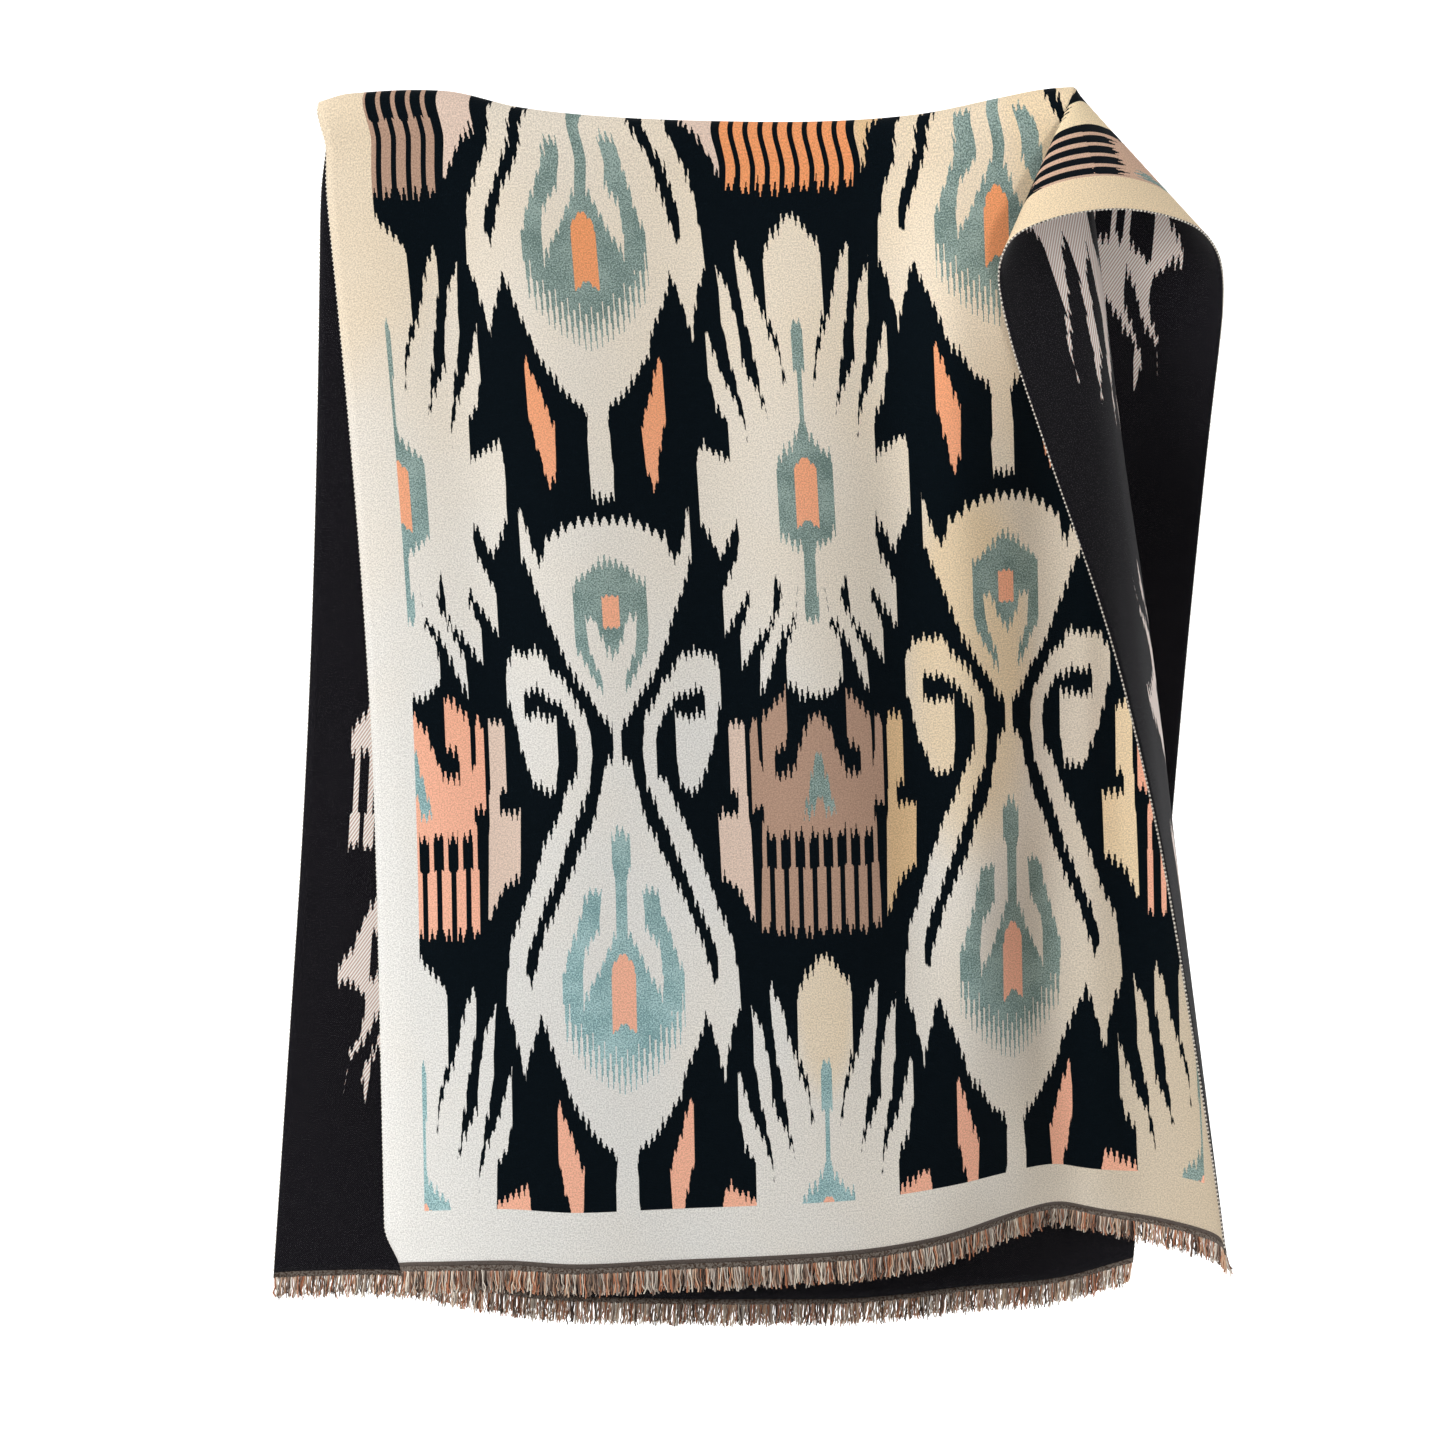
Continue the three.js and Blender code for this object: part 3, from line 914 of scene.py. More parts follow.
@dataclass(frozen=True)
class FaceFinish:
    """The face of the cloth: the coloured figure on a dark ground, brushed to a felt-like nap."""

    dyes: ClothDyes = field(default_factory=ClothDyes)
    nap_depth: float = 0.0006
    last_wefts: float = 3.2
    weft_pitch: float = 1.1
    speck_scale: float = 900.0
    speck_range: tuple = (0.32, 0.68)
    warm_rows: tuple = (280.0, 860.0)
    warm_columns: tuple = (120.0, 640.0)
    # Where painted shade falls on the cream: towards the right, and low on the cloth.
    shade_columns: tuple = (470.0, 690.0)
    shade_rows: tuple = (240.0, 620.0)
    # Where painted shade greys the teal, measured along v plus u.
    shaded_teal_range: tuple = (330.0, 720.0)
    lit_comb: tuple = (560.0, 600.0)
    tan_bars: tuple = (390.0, 410.0)

    def cream(self, dye: DyeBath, chart: IkatChart, climb: Field) -> bpy.types.NodeSocket:
        """Colour of the pale yarn: warmer up the cloth, to its right and in the warm lots, partly with
        painted warm light, and darkened low on the right by painted shade.

        Args:
            dye: The material's node builder.
            chart: The pattern.
            climb: 0 low on the cloth, 1 at the fold.

        Returns:
            The colour's socket.
        """
        d = self.dyes
        broad = dye.noise(chart.uv, 9.0)
        # The warmth up the cloth, to its right and in the warm lots is partly warmer yarn and partly painted
        # warm light and shade.
        warmth = climb * 0.5 + chart.u.ramp(*self.warm_columns) * 0.36 + (broad - 0.5) * 0.4
        for lot in WARM_LOTS:
            warmth = warmth + chart.patch(lot)
        cream = dye.mix(warmth.larger(0.0).smaller(1.0), srgb(*d.cream), srgb(*d.warm_cream))
        # Painted shade: the cream turns darker and duller towards the right and low on the cloth, where the
        # fall turns away from the light.
        painted_shade = chart.u.ramp(*self.shade_columns) * (1 - chart.v.ramp(*self.shade_rows)) * 0.8
        return dye.mix(painted_shade, cream, srgb(*d.shaded_cream))

    def teal(self, dye: DyeBath, chart: IkatChart, speck: Field) -> bpy.types.NodeSocket:
        """Colour of the teal yarn: blotched, and greyer and darker towards the top right, where shade is
        painted into it.

        Args:
            dye: The material's node builder.
            chart: The pattern.
            speck: The cloth's fine grain.

        Returns:
            The colour's socket.
        """
        d = self.dyes
        blotch = (speck * 0.7 + dye.noise(chart.uv, 40.0) * 0.3).ramp(0.40, 0.60)
        clear = dye.mix(blotch, srgb(*d.teal), srgb(*d.pale_teal))
        teal_in_shade = dye.mix(blotch, srgb(*d.shaded_teal), srgb(*d.pale_shaded_teal))
        # Painted shade: the teal turns greyer and darker up the cloth and to its right.
        return dye.mix((chart.v + chart.u * 0.9).ramp(*self.shaded_teal_range), clear, teal_in_shade)

    def bars(self, dye: DyeBath, chart: IkatChart) -> bpy.types.NodeSocket:
        """Colour of the bars beside the combs: salmon at the left, then tan, palest at the right."""
        d = self.dyes
        bar = dye.mix(chart.u.ramp(*self.tan_bars), srgb(*d.pale_salmon), srgb(*d.tan))
        return dye.mix(chart.u.ramp(*IkatChart.LAST_COMB), bar, srgb(*d.pale_tan))

    def make(self) -> bpy.types.Material:
        """Builds the face material.

        Returns:
            The material.
        """
        dye = DyeBath("cloth_face")
        chart = IkatChart(dye)
        d = self.dyes
        climb = chart.v.ramp(*self.warm_rows)
        speck = dye.noise(chart.uv, self.speck_scale, 4.0)
        cream, teal = self.cream(dye, chart, climb), self.teal(dye, chart, speck)
        orange = dye.mix(climb, srgb(*d.orange), srgb(*d.deep_orange))
        brown = dye.mix(chart.u.ramp(*self.lit_comb), srgb(*d.brown), srgb(*d.lit_brown))
        comb_teal = chart.union(COMB_TEAL, chart.hand_x, chart.hand_h)
        last = (chart.v < self.last_wefts).larger(chart.v > IkatChart.CLOTH_LENGTH - self.last_wefts)
        colour = srgb(*d.ground)
        for mask, yarn in (
            (chart.cream_figure(), cream),
            (chart.teal(), teal),
            (chart.slivers().larger(chart.cores()), orange),
            (chart.comb(), dye.mix(chart.swapped(), orange, brown)),
            (chart.bars(), self.bars(dye, chart)),
            (comb_teal, teal),
            (chart.border(), cream),
            (last, srgb(*d.heading)),
        ):
            colour = dye.mix(mask, colour, yarn)
        grain = dye.mix(speck.ramp(*self.speck_range), grey(d.grain_low), grey(d.grain_high))
        colour = dye.mix(1.0, colour, grain, "MULTIPLY")
        weft = (chart.v / self.weft_pitch).modulo(1.0).pingpong(0.5)
        relief = speck * 0.8 + weft * 0.35 + dye.noise(chart.uv, 420.0) * 0.5
        dye.finish(colour, 0.95, relief, self.nap_depth, 0.02)
        return dye.material


@dataclass(frozen=True)
class ReverseFinish:
    """The back of the cloth: a dark twill where the face is coloured, slanting stripes elsewhere."""

    dark: tuple = (11, 10, 16)
    speck: tuple = (116, 112, 116)
    pink: tuple = (216, 180, 164)
    cream: tuple = (255, 248, 241)
    stripe_pitch: float = 3.8
    stripe_slope: float = 1.5
    pink_to: float = 0.34
    shaded_from: float = 0.86
    twill_pitch: float = 1.9
    twill_slope: float = 1.2

    def make(self) -> bpy.types.Material:
        """Builds the reverse material.

        Returns:
            The material.
        """
        dye = DyeBath("cloth_reverse")
        chart = IkatChart(dye)
        figure = chart.cream_figure().larger(chart.comb()).larger(chart.bars())
        figure = figure.larger(chart.slivers()).larger(chart.border())
        slant = (chart.u * self.stripe_slope + chart.v).modulo(self.stripe_pitch) / self.stripe_pitch
        stripe = dye.mix(slant > self.pink_to, srgb(*self.pink), srgb(*self.cream))
        stripe = dye.mix((slant > self.shaded_from) * 0.4, stripe, srgb(*self.dark))
        twill = (chart.u * self.twill_slope + chart.v).modulo(self.twill_pitch) / self.twill_pitch
        speck = dye.noise(chart.uv, 1300.0)
        pale = speck.ramp(0.55, 0.74) * 0.45 + (twill > 0.7) * 0.05
        colour = dye.mix(figure, stripe, dye.mix(pale, srgb(*self.dark), srgb(*self.speck)))
        relief = slant * (1 - figure) + twill * 0.5 * figure + speck * 0.4
        dye.finish(colour, 0.93, relief, 0.0005, 0.08)
        return dye.material


@dataclass(frozen=True)
class YarnFinish:
    """Cut yarn ends, each dyed one of the warp's colours."""

    tones: tuple = (
        (240, 230, 214), (220, 186, 158), (196, 132, 100),
        (206, 194, 182), (150, 126, 112), (92, 78, 70),
    )

    def make(self) -> bpy.types.Material:
        """Builds the fringe material from each yarn's own tone.

        Returns:
            The material.
        """
        dye = DyeBath("fringe_yarn")
        tone = dye.number("ShaderNodeAttribute", {"attribute_name": "tone"}, {}, "Fac")
        colour = srgb(*self.tones[0])
        for number, shade in enumerate(self.tones[1:], start=1):
            colour = dye.mix(tone > number / len(self.tones), colour, srgb(*shade))
        place = dye.add("ShaderNodeTexCoord", {}, {}).outputs["Object"]
        twist = dye.noise(place, 1800.0)
        dye.finish(colour, 0.9, twist, 0.0003, 0.1)
        return dye.material


@dataclass(frozen=True)
class EdgeFinish:
    """Yarn of one colour, for cut edges, hem headings and edge stitches."""

    name: str
    first: tuple
    second: tuple
    lumps: float = 900.0

    def make(self) -> bpy.types.Material:
        """Builds the edge material.

        Returns:
            The material.
        """
        dye = DyeBath(self.name)
        place = dye.add("ShaderNodeTexCoord", {}, {}).outputs["Object"]
        speck = dye.noise(place, self.lumps)
        colour = dye.mix(speck.ramp(0.4, 0.6), srgb(*self.first), srgb(*self.second))
        dye.finish(colour, 0.92, speck, 0.0003, 0.1)
        return dye.material


# ---- The pieces ---------------------------------------------------------------------------------
@dataclass
class ScarfCloth:
    """The whole cloth as one thin shell, with a face and a reverse."""

    drape: DrapedCloth
    thickness: float = 1.5
    left_columns: int = 84
    tip_columns: int = 17
    right_columns: int = 22
    tip_before: float = 20.0
    tip_after: float = 30.0
    fold_rows: int = 23
    fold_crowding: float = 1.35
    fall_rows: int = 128
    fold_reach: float = 90.0

    def stations_across(self) -> np.ndarray:
        """Distances from the left selvedge, closer together round the hold point."""
        start, end = DrapedCloth.HOLD_AT - self.tip_before, DrapedCloth.HOLD_AT + self.tip_after
        left = np.linspace(0, start, self.left_columns)
        tip = np.linspace(start, end, self.tip_columns)[1:]
        right = np.linspace(end, DrapedCloth.WIDTH, self.right_columns)[1:]
        return np.concatenate([left, tip, right])

    def rows_along(self) -> tuple[np.ndarray, np.ndarray]:
        """Rows from the front hem over the fold to the back hem.

        Returns:
            Each row's distance from the fold where it lies near it, and the share of the fall past
            that, from 0 to 1. Rows behind are negative.
        """
        near = np.linspace(0, 1, self.fold_rows) ** self.fold_crowding
        fall = np.linspace(0, 1, self.fall_rows)[1:]
        close = np.concatenate([near * self.fold_reach, np.full(fall.size, self.fold_reach)])
        share = np.concatenate([np.zeros(near.size), fall])
        return np.concatenate([-close[:0:-1], close]), np.concatenate([-share[:0:-1], share])

    def build(self) -> bpy.types.Object:
        """Builds the shell.

        Returns:
            The cloth.
        """
        across = self.stations_across()
        close, share = self.rows_along()
        s = across[:, None] + 0 * close[None, :]
        length = self.drape.fall_length(s, close[None, :])
        t = close + share * (length - self.fold_reach)
        middle = self.drape.point(s, t)
        normal = self.drape.normal(s, t)
        layers = [middle + normal * (side * self.thickness / 2) for side in (1, -1)]
        columns, rows = s.shape
        points = np.concatenate([layer.reshape(-1, 3) for layer in layers]) * MM
        number = np.arange(columns * rows).reshape(columns, rows)
        a, b, c, d = number[:-1, :-1], number[1:, :-1], number[1:, 1:], number[:-1, 1:]
        inner = np.stack([a, b, c, d], -1).reshape(-1, 4)
        outer = np.stack([a, d, c, b], -1).reshape(-1, 4) + columns * rows
        under = number + columns * rows
        rim = [
            np.stack([number[1:, 0], number[:-1, 0], under[:-1, 0], under[1:, 0]], -1),
            np.stack([number[:-1, -1], number[1:, -1], under[1:, -1], under[:-1, -1]], -1),
            np.stack([number[0, :-1], number[0, 1:], under[0, 1:], under[0, :-1]], -1),
            np.stack([number[-1, 1:], number[-1, :-1], under[-1, :-1], under[-1, 1:]], -1),
        ]
        faces = np.concatenate([inner, outer, *rim])
        cloth = mesh_object("scarf_cloth", points, faces.tolist())
        mesh = cloth.data
        edge = EdgeFinish("cloth_edge", (30, 28, 32), (150, 142, 134))
        for finish in (FaceFinish(), ReverseFinish(), edge):
            mesh.materials.append(finish.make())
        kind = np.repeat([1, 0, 2], [len(inner), len(outer), len(faces) - len(inner) - len(outer)])
        mesh.polygons.foreach_set("material_index", kind.astype(np.int32))
        front = self.drape.station(Fold.FRONT_LEN, s)
        rest = (IkatChart.CLOTH_LENGTH - front) / self.drape.station(Fold.BACK_LEN, s)
        flat = np.stack([s, front - t * np.where(t < 0, rest, 1)], -1).reshape(-1, 2) * MM
        flat = np.concatenate([flat, flat])
        corners = np.empty(len(mesh.loops), dtype=np.int32)
        mesh.loops.foreach_get("vertex_index", corners)
        layer = mesh.uv_layers.new(name="cloth")
        layer.data.foreach_set("uv", flat[corners].ravel().astype(np.float32))
        return cloth


class Hem(Enum):
    """The two fringed ends."""

    FRONT = 1
    BACK = -1


@dataclass
class Fringe:
    """Loose warp ends hanging from a woven heading at one hem."""

    drape: DrapedCloth
    hem: Hem
    heading: float = 4.5
    heading_seam: float = 0.05
    heading_half_walls: tuple = (0.9, 1.05, 0.5)
    heading_columns: int = 160
    root_share: float = 0.55
    aim_below: float = 6.0
    guide_points: int = 240
    reach: float = 18.0
    yarns: int = 1600
    yarn_radius: float = 0.48
    seed: int = 1

    @property
    def node(self) -> str:
        """The solid that this fringe stands for."""
        return "front_fringe" if self.hem is Hem.FRONT else "back_fringe"

    def past_hem(self, s: np.ndarray, past: float) -> np.ndarray:
        """Distances from the fold, a given way past the hem, negative behind."""
        side = float(self.hem.value)
        return side * (self.drape.fall_length(s, np.full_like(s, side)) + past)

    def build_heading(self) -> bpy.types.Object:
        """Builds the narrow woven strip that the yarns hang from.

        Returns:
            The strip.
        """
        s = np.linspace(0, DrapedCloth.WIDTH, self.heading_columns)
        upper, lower = [], []
        for past, half in zip((self.heading_seam, self.heading / 2, self.heading), self.heading_half_walls):
            t = self.past_hem(s, past)
            middle, normal = self.drape.point(s, t), self.drape.normal(s, t)
            upper.append(middle + normal * half)
            lower.append(middle - normal * half)
        points = np.stack(upper + lower[::-1], 1) * MM
        number = np.arange(points.shape[0] * points.shape[1]).reshape(points.shape[:2])
        caps = [number[0][::-1].tolist(), number[-1].tolist()]
        faces = strips(number, np.roll(number, -1, axis=1)) + caps
        if self.hem is Hem.BACK:
            faces = [face[::-1] for face in faces]
        strip = mesh_object(f"{self.node}_heading", points.reshape(-1, 3), faces)
        strip.data.materials.append(EdgeFinish("heading_yarn", (120, 112, 104), (72, 58, 50), 700.0).make())
        return strip

    def build_yarns(self) -> bpy.types.Object:
        """Hangs the loose yarns along the heading with a node tree.

        Returns:
            The yarns as one plain mesh.
        """
        s = np.linspace(1, DrapedCloth.WIDTH - 1, self.guide_points)
        root = self.drape.point(s, self.past_hem(s, self.heading * self.root_share))
        below = self.drape.point(s, self.past_hem(s, self.heading + self.aim_below))
        run = below - root
        run = run / np.linalg.norm(run, axis=1, keepdims=True)
        piece = guide_line(self.node + "_yarns", root)
        hang = piece.data.attributes.new("hang", "FLOAT_VECTOR", "POINT")
        hang.data.foreach_set("vector", run.ravel().astype(np.float32))
        sizes = {"Yarns": self.yarns, "Reach": self.reach * MM, "Radius": self.yarn_radius * MM}
        return YarnTree(YarnFinish().make()).grow(piece, {**sizes, "Seed": self.seed})


class TrimTree(NodeBench):
    """A node tree that turns a guide line into many small pieces."""

    def __init__(self, name: str, sizes: dict) -> None:
        """Starts the tree and its named inputs.

        Args:
            name: The tree's name.
            sizes: Each named input's kind, Int or Float.
        """
        super().__init__(bpy.data.node_groups.new(name, "GeometryNodeTree"))
        face = self.tree.interface
        face.new_socket("Geometry", in_out="INPUT", socket_type="NodeSocketGeometry")
        self.inputs = {}
        for size, kind in sizes.items():
            socket = face.new_socket(size, in_out="INPUT", socket_type=f"NodeSocket{kind}")
            self.inputs[size] = socket.identifier
        face.new_socket("Geometry", in_out="OUTPUT", socket_type="NodeSocketGeometry")
        self.entry = self.tree.nodes.new("NodeGroupInput").outputs

    def spread(self, count: str) -> bpy.types.NodeSocket:
        """Points spread evenly along the guide line.

        Args:
            count: The named input that holds their number.

        Returns:
            The points' socket.
        """
        line = self.add("GeometryNodeMeshToCurve", {}, {"Mesh": self.entry["Geometry"]})
        values = {"Curve": line.outputs["Curve"], "Count": self.entry[count]}
        return self.add("GeometryNodeCurveToPoints", {"mode": "COUNT"}, values).outputs["Points"]

    def end(self, pieces: bpy.types.NodeSocket, material: bpy.types.Material) -> None:
        """Makes the pieces real, gives them their finish and ends the tree.

        Args:
            pieces: The pieces' socket.
            material: Their finish.
        """
        real = self.add("GeometryNodeRealizeInstances", {}, {"Geometry": pieces})
        values = {"Geometry": real.outputs["Geometry"], "Material": material}
        dressed = self.add("GeometryNodeSetMaterial", {}, values)
        self.add("NodeGroupOutput", {}, {"Geometry": dressed.outputs["Geometry"]})

    def grow(self, piece: bpy.types.Object, sizes: dict) -> bpy.types.Object:
        """Runs the tree on a guide line and keeps the result as a plain mesh.

        Args:
            piece: The object that holds the guide line.
            sizes: The tree's named inputs.

        Returns:
            The same object, now the trim.
        """
        modifier = piece.modifiers.new("trim", "NODES")
        modifier.node_group = self.tree
        for name, size in sizes.items():
            modifier[self.inputs[name]] = size
        evaluated = piece.evaluated_get(bpy.context.evaluated_depsgraph_get())
        mesh = bpy.data.meshes.new_from_object(evaluated)
        piece.modifiers.remove(modifier)
        piece.data = mesh
        mesh.shade_smooth()
        return piece


class YarnTree(TrimTree):
    """A node tree that hangs bent yarns along a guide line."""

    SPLAY = (0.16, 0.30, 0.10)
    LENGTHS = (0.84, 1.06)
    BEND = 0.008
    BEND_SCALE = 260.0
    BENDS = 5
    SIDES = 4

    def __init__(self, material: bpy.types.Material) -> None:
        """Builds the tree, from the guide line to the yarns.

        Args:
            material: The yarn's finish.
        """
        super().__init__("hang_yarns", {"Yarns": "Int", "Reach": "Float", "Radius": "Float", "Seed": "Int"})
        splay = [self.random(-most, most, offset) for offset, most in enumerate(self.SPLAY, start=1)]
        lean = self.add("ShaderNodeCombineXYZ", {}, dict(enumerate(splay)))
        hang = self.add("GeometryNodeInputNamedAttribute", {"data_type": "FLOAT_VECTOR"}, {"Name": "hang"})
        way = self.vector("ADD", {0: hang.outputs["Attribute"], 1: lean.outputs[0]})
        turn = self.add("FunctionNodeAlignRotationToVector", {"axis": "Z"}, {"Vector": way})
        line = {"Start": (0, 0, 0), "End": (0, 0, 1)}
        yarn = self.add("GeometryNodeCurvePrimitiveLine", {"mode": "POINTS"}, line).outputs["Curve"]
        yarn = self.add("GeometryNodeResampleCurve", {}, {"Curve": yarn, "Count": self.BENDS})
        reach = self.product(self.random(*self.LENGTHS, 4), self.entry["Reach"])
        places = {"Points": self.spread("Yarns"), "Instance": yarn.outputs["Curve"]}
        places = {**places, "Rotation": turn.outputs["Rotation"], "Scale": reach}
        hung = self.add("GeometryNodeInstanceOnPoints", {}, places)
        tone = {"Geometry": hung.outputs["Instances"], "Name": "tone", "Value": self.random(0, 1, 5)}
        each = {"data_type": "FLOAT", "domain": "INSTANCE"}
        toned = self.add("GeometryNodeStoreNamedAttribute", each, tone)
        loose = self.add("GeometryNodeRealizeInstances", {}, {"Geometry": toned.outputs["Geometry"]})
        ring = {"Resolution": self.SIDES, "Radius": self.entry["Radius"]}
        section = self.add("GeometryNodeCurvePrimitiveCircle", {"mode": "RADIUS"}, ring)
        skin = {"Curve": self.bent(loose.outputs["Geometry"]), "Profile Curve": section.outputs["Curve"]}
        solid = self.add("GeometryNodeCurveToMesh", {}, {**skin, "Fill Caps": True})
        self.end(solid.outputs["Mesh"], material)

    def vector(self, operation: str, values: dict) -> bpy.types.NodeSocket:
        """Adds one Vector Math node and returns its result."""
        return self.add("ShaderNodeVectorMath", {"operation": operation}, values).outputs[0]

    def product(self, first: object, second: object) -> bpy.types.NodeSocket:
        """Product of two numbers."""
        return self.add("ShaderNodeMath", {"operation": "MULTIPLY"}, {0: first, 1: second}).outputs[0]

    def random(self, low: float, high: float, offset: int) -> bpy.types.NodeSocket:
        """A random number for each yarn.

        Args:
            low: Least value.
            high: Greatest value.
            offset: What is added to the seed.

        Returns:
            The number's socket.
        """
        seed = self.add("ShaderNodeMath", {"operation": "ADD"}, {0: self.entry["Seed"], 1: float(offset)})
        node = self.add("FunctionNodeRandomValue", {"data_type": "FLOAT"}, {"Seed": seed.outputs[0]})
        sockets = {socket.identifier: socket for socket in node.inputs}
        self.feed(sockets["Min_001"], low)
        self.feed(sockets["Max_001"], high)
        return next(o for o in node.outputs if o.identifier == "Value_001")

    def bent(self, yarns: bpy.types.NodeSocket) -> bpy.types.NodeSocket:
        """Bends each yarn more towards its tip.

        Args:
            yarns: The straight yarns' socket.

        Returns:
            The bent yarns' socket.
        """
        along = self.add("GeometryNodeSplineParameter", {}, {}).outputs["Factor"]
        noise = self.add("ShaderNodeTexNoise", {}, {"Scale": self.BEND_SCALE, "Detail": 1.0})
        centred = self.vector("SUBTRACT", {0: noise.outputs["Color"], 1: (0.5, 0.5, 0.5)})
        push = self.vector("SCALE", {0: centred, "Scale": self.product(along, self.BEND)})
        moved = self.add("GeometryNodeSetPosition", {}, {"Geometry": yarns, "Offset": push})
        return moved.outputs["Geometry"]


@dataclass
class EdgeStitches:
    """Small pale stitch heads along a woven edge, one every few wefts."""

    drape: DrapedCloth
    name: str
    s: float
    pitch: float = 3.2
    head: float = 0.92
    end_clear: float = 2.0
    guide_points: int = 700

    def build(self) -> bpy.types.Object:
        """Sets the stitch heads with a node tree.

        Returns:
            The stitches as one plain mesh.
        """
        at = np.array([self.s])
        front = float(self.drape.station(Fold.FRONT_LEN, at)[0])
        back = float(self.drape.station(Fold.BACK_LEN, at)[0])
        t = np.linspace(front - self.end_clear, self.end_clear - back, self.guide_points)
        piece = guide_line(self.name, self.drape.point(np.full_like(t, self.s), t))
        material = EdgeFinish("stitch_yarn", (246, 240, 228), (214, 204, 190)).make()
        sizes = {"Stitches": int((front + back) / self.pitch), "Head": self.head * MM}
        return StitchTree(material).grow(piece, sizes)


class StitchTree(TrimTree):
    """A node tree that sets small stitch heads along a guide line."""

    def __init__(self, material: bpy.types.Material) -> None:
        """Builds the tree.

        Args:
            material: The stitches' finish.
        """
        super().__init__("set_stitches", {"Stitches": "Int", "Head": "Float"})
        head = self.add("GeometryNodeMeshIcoSphere", {}, {"Subdivisions": 1, "Radius": self.entry["Head"]})
        values = {"Points": self.spread("Stitches"), "Instance": head.outputs["Mesh"]}
        places = self.add("GeometryNodeInstanceOnPoints", {}, values)
        self.end(places.outputs["Instances"], material)


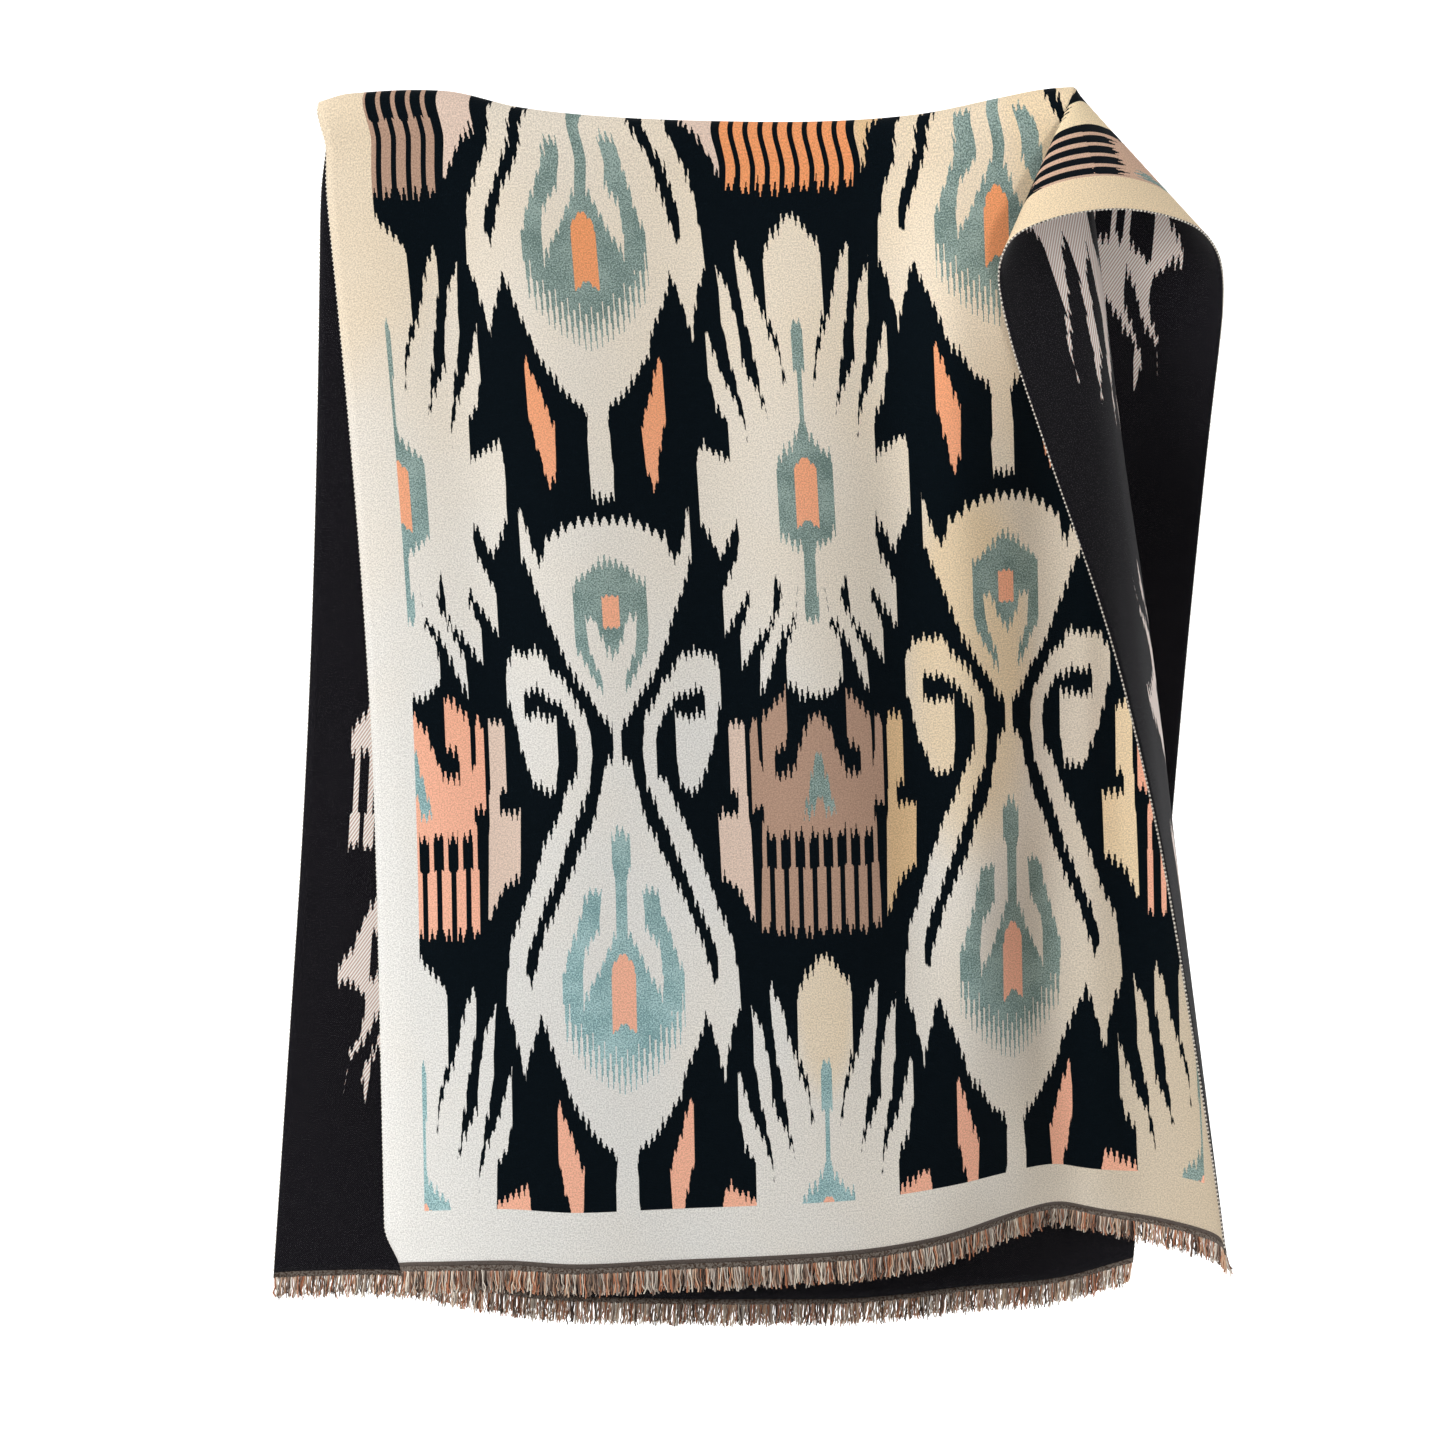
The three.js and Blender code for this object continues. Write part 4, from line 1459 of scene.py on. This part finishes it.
# ---- The studio ---------------------------------------------------------------------------------
@dataclass
class Studio:
    """A pale round sweep, soft lights and the camera."""

    floor_z: float = -1.08
    sweep_radius: float = 4.2
    sweep_corner: float = 1.4
    sweep_height: float = 5.0
    corner_rings: int = 10
    sweep_sides: int = 96
    glow: float = 0.45
    glow_depths: tuple = (-0.2, 0.9)
    near_paint: float = 0.34
    far_paint: float = 0.93
    paint_depths: tuple = (-1.1, 0.3)
    air_light: float = 0.8
    cowl_power: float = 420.0
    cowl_spread: float = 6.5
    eye: tuple = (-0.2637, -2.2, -0.4746)
    view_width: float = 1.081

    def build_sweep(self) -> None:
        """Builds the floor that curves up into a wall all round."""
        corner = np.linspace(0, math.pi / 2, self.corner_rings)
        turn = self.sweep_radius - self.sweep_corner
        rounding = turn + self.sweep_corner * np.sin(corner)
        radius = np.concatenate([[MM, turn / 2], rounding, [self.sweep_radius]])
        height = np.concatenate([[0, 0], self.sweep_corner * (1 - np.cos(corner)), [self.sweep_height]])
        angles = np.linspace(0, 2 * math.pi, self.sweep_sides, endpoint=False)
        points = np.stack([
            radius[:, None] * np.cos(angles) + self.eye[0],
            radius[:, None] * np.sin(angles),
            height[:, None] + self.floor_z + 0 * angles,
        ], -1)
        rows, turns = points.shape[:2]
        number = np.arange(rows * turns).reshape(rows, turns)
        faces = strips(number, np.roll(number, -1, axis=1))
        sweep = mesh_object("studio_sweep", points.reshape(-1, 3), faces)
        dye = DyeBath("sweep_paint")
        place = dye.add("ShaderNodeTexCoord", {}, {}).outputs["Object"]
        depth = dye.number("ShaderNodeSeparateXYZ", {}, {0: place}, 1)
        glow = dye.mix(depth.ramp(*self.glow_depths), BLACK, WHITE)
        paint = dye.mix(depth.ramp(*self.paint_depths), grey(self.near_paint), grey(self.far_paint))
        dye.finish(paint, 0.9, dye.noise(place, 40.0), 0.0001, 0.0, glow, self.glow)
        sweep.data.materials.append(dye.material)

    def add_light(self, name: str, place: tuple, aim: tuple, size: float, power: float) -> None:
        """Adds a soft square light.

        Args:
            name: The light's name.
            place: Where it stands.
            aim: What it points at.
            size: Its width.
            power: Its power in watts.
        """
        lamp = bpy.data.lights.new(name, "AREA")
        lamp.size = size
        lamp.energy = power
        self.place_light(lamp, place, aim)

    def add_cowl_light(self, place: tuple, aim: tuple) -> None:
        """Adds a narrow soft light from below that opens up the inside of the cowl.

        Args:
            place: Where it stands.
            aim: What it points at.
        """
        lamp = bpy.data.lights.new("cowl_light", "SPOT")
        lamp.energy = self.cowl_power
        lamp.spot_size = math.radians(self.cowl_spread)
        lamp.spot_blend = 1.0
        lamp.shadow_soft_size = 0.25
        self.place_light(lamp, place, aim)

    @staticmethod
    def place_light(lamp: bpy.types.Light, place: tuple, aim: tuple) -> None:
        """Stands a light somewhere and turns it to what it lights."""
        light = bpy.data.objects.new(lamp.name, lamp)
        light.location = place
        way = np.array(aim) - np.array(place)
        yaw = math.atan2(way[1], way[0]) - math.pi / 2
        pitch = math.atan2(way[2], math.hypot(way[0], way[1])) + math.pi / 2
        light.rotation_euler = (pitch, 0, yaw)
        bpy.context.scene.collection.objects.link(light)

    def build(self) -> None:
        """Builds the sweep, the lights, the world and the camera."""
        self.build_sweep()
        middle = (self.eye[0], 0.0, self.eye[2])
        self.add_light("key_light", (-2.35, -2.2, 0.3), middle, 1.2, 66.0)
        self.add_light("fill_light", (1.6, -2.6, 0.2), middle, 2.0, 3.0)
        self.add_cowl_light((0.1, -2.3, -1.0), (0.05, 0.0, -0.15))
        self.add_light("back_light", (0.4, 2.6, 1.4), middle, 2.0, 20.0)
        world = bpy.data.worlds.new("studio_air")
        bpy.context.scene.world = world
        world.use_nodes = True
        air = world.node_tree.nodes["Background"]
        air.inputs["Color"].default_value = WHITE
        air.inputs["Strength"].default_value = self.air_light
        bpy.context.scene.view_settings.view_transform = "Standard"
        lens = bpy.data.cameras.new("camera")
        lens.sensor_width = 36.0
        lens.lens = lens.sensor_width * -self.eye[1] / self.view_width
        camera = bpy.data.objects.new("camera", lens)
        camera.location = self.eye
        camera.rotation_euler = (math.pi / 2, 0, 0)
        bpy.context.scene.collection.objects.link(camera)
        bpy.context.scene.camera = camera


CLOTH_NODES = ("fold_crest", "cowl", "front_fall", "front_margin", "back_fall", "back_margin")
YARN_SEED = 3


def main() -> None:
    """Builds the scarf and its studio, and reports each piece."""
    logging.basicConfig(level=logging.INFO, format="%(name)s: %(message)s")
    Studio().build()
    drape = DrapedCloth()
    cloth = ScarfCloth(drape).build()
    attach(cloth, "root")
    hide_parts(*CLOTH_NODES)
    LOG.info("%s: %d faces", cloth.name, len(cloth.data.polygons))
    trims = []
    for hem in Hem:
        fringe = Fringe(drape, hem, seed=YARN_SEED + hem.value)
        heading, yarns = fringe.build_heading(), fringe.build_yarns()
        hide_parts(fringe.node)
        trims += [heading, yarns]
    for name, s in (("left_edge_stitches", 0.0), ("right_edge_stitches", DrapedCloth.WIDTH)):
        trims.append(EdgeStitches(drape, name, s).build())
    for piece in trims:
        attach(piece, "root")
        LOG.info("%s: %d faces", piece.name, len(piece.data.polygons))


if __name__ == "__main__":
    main()
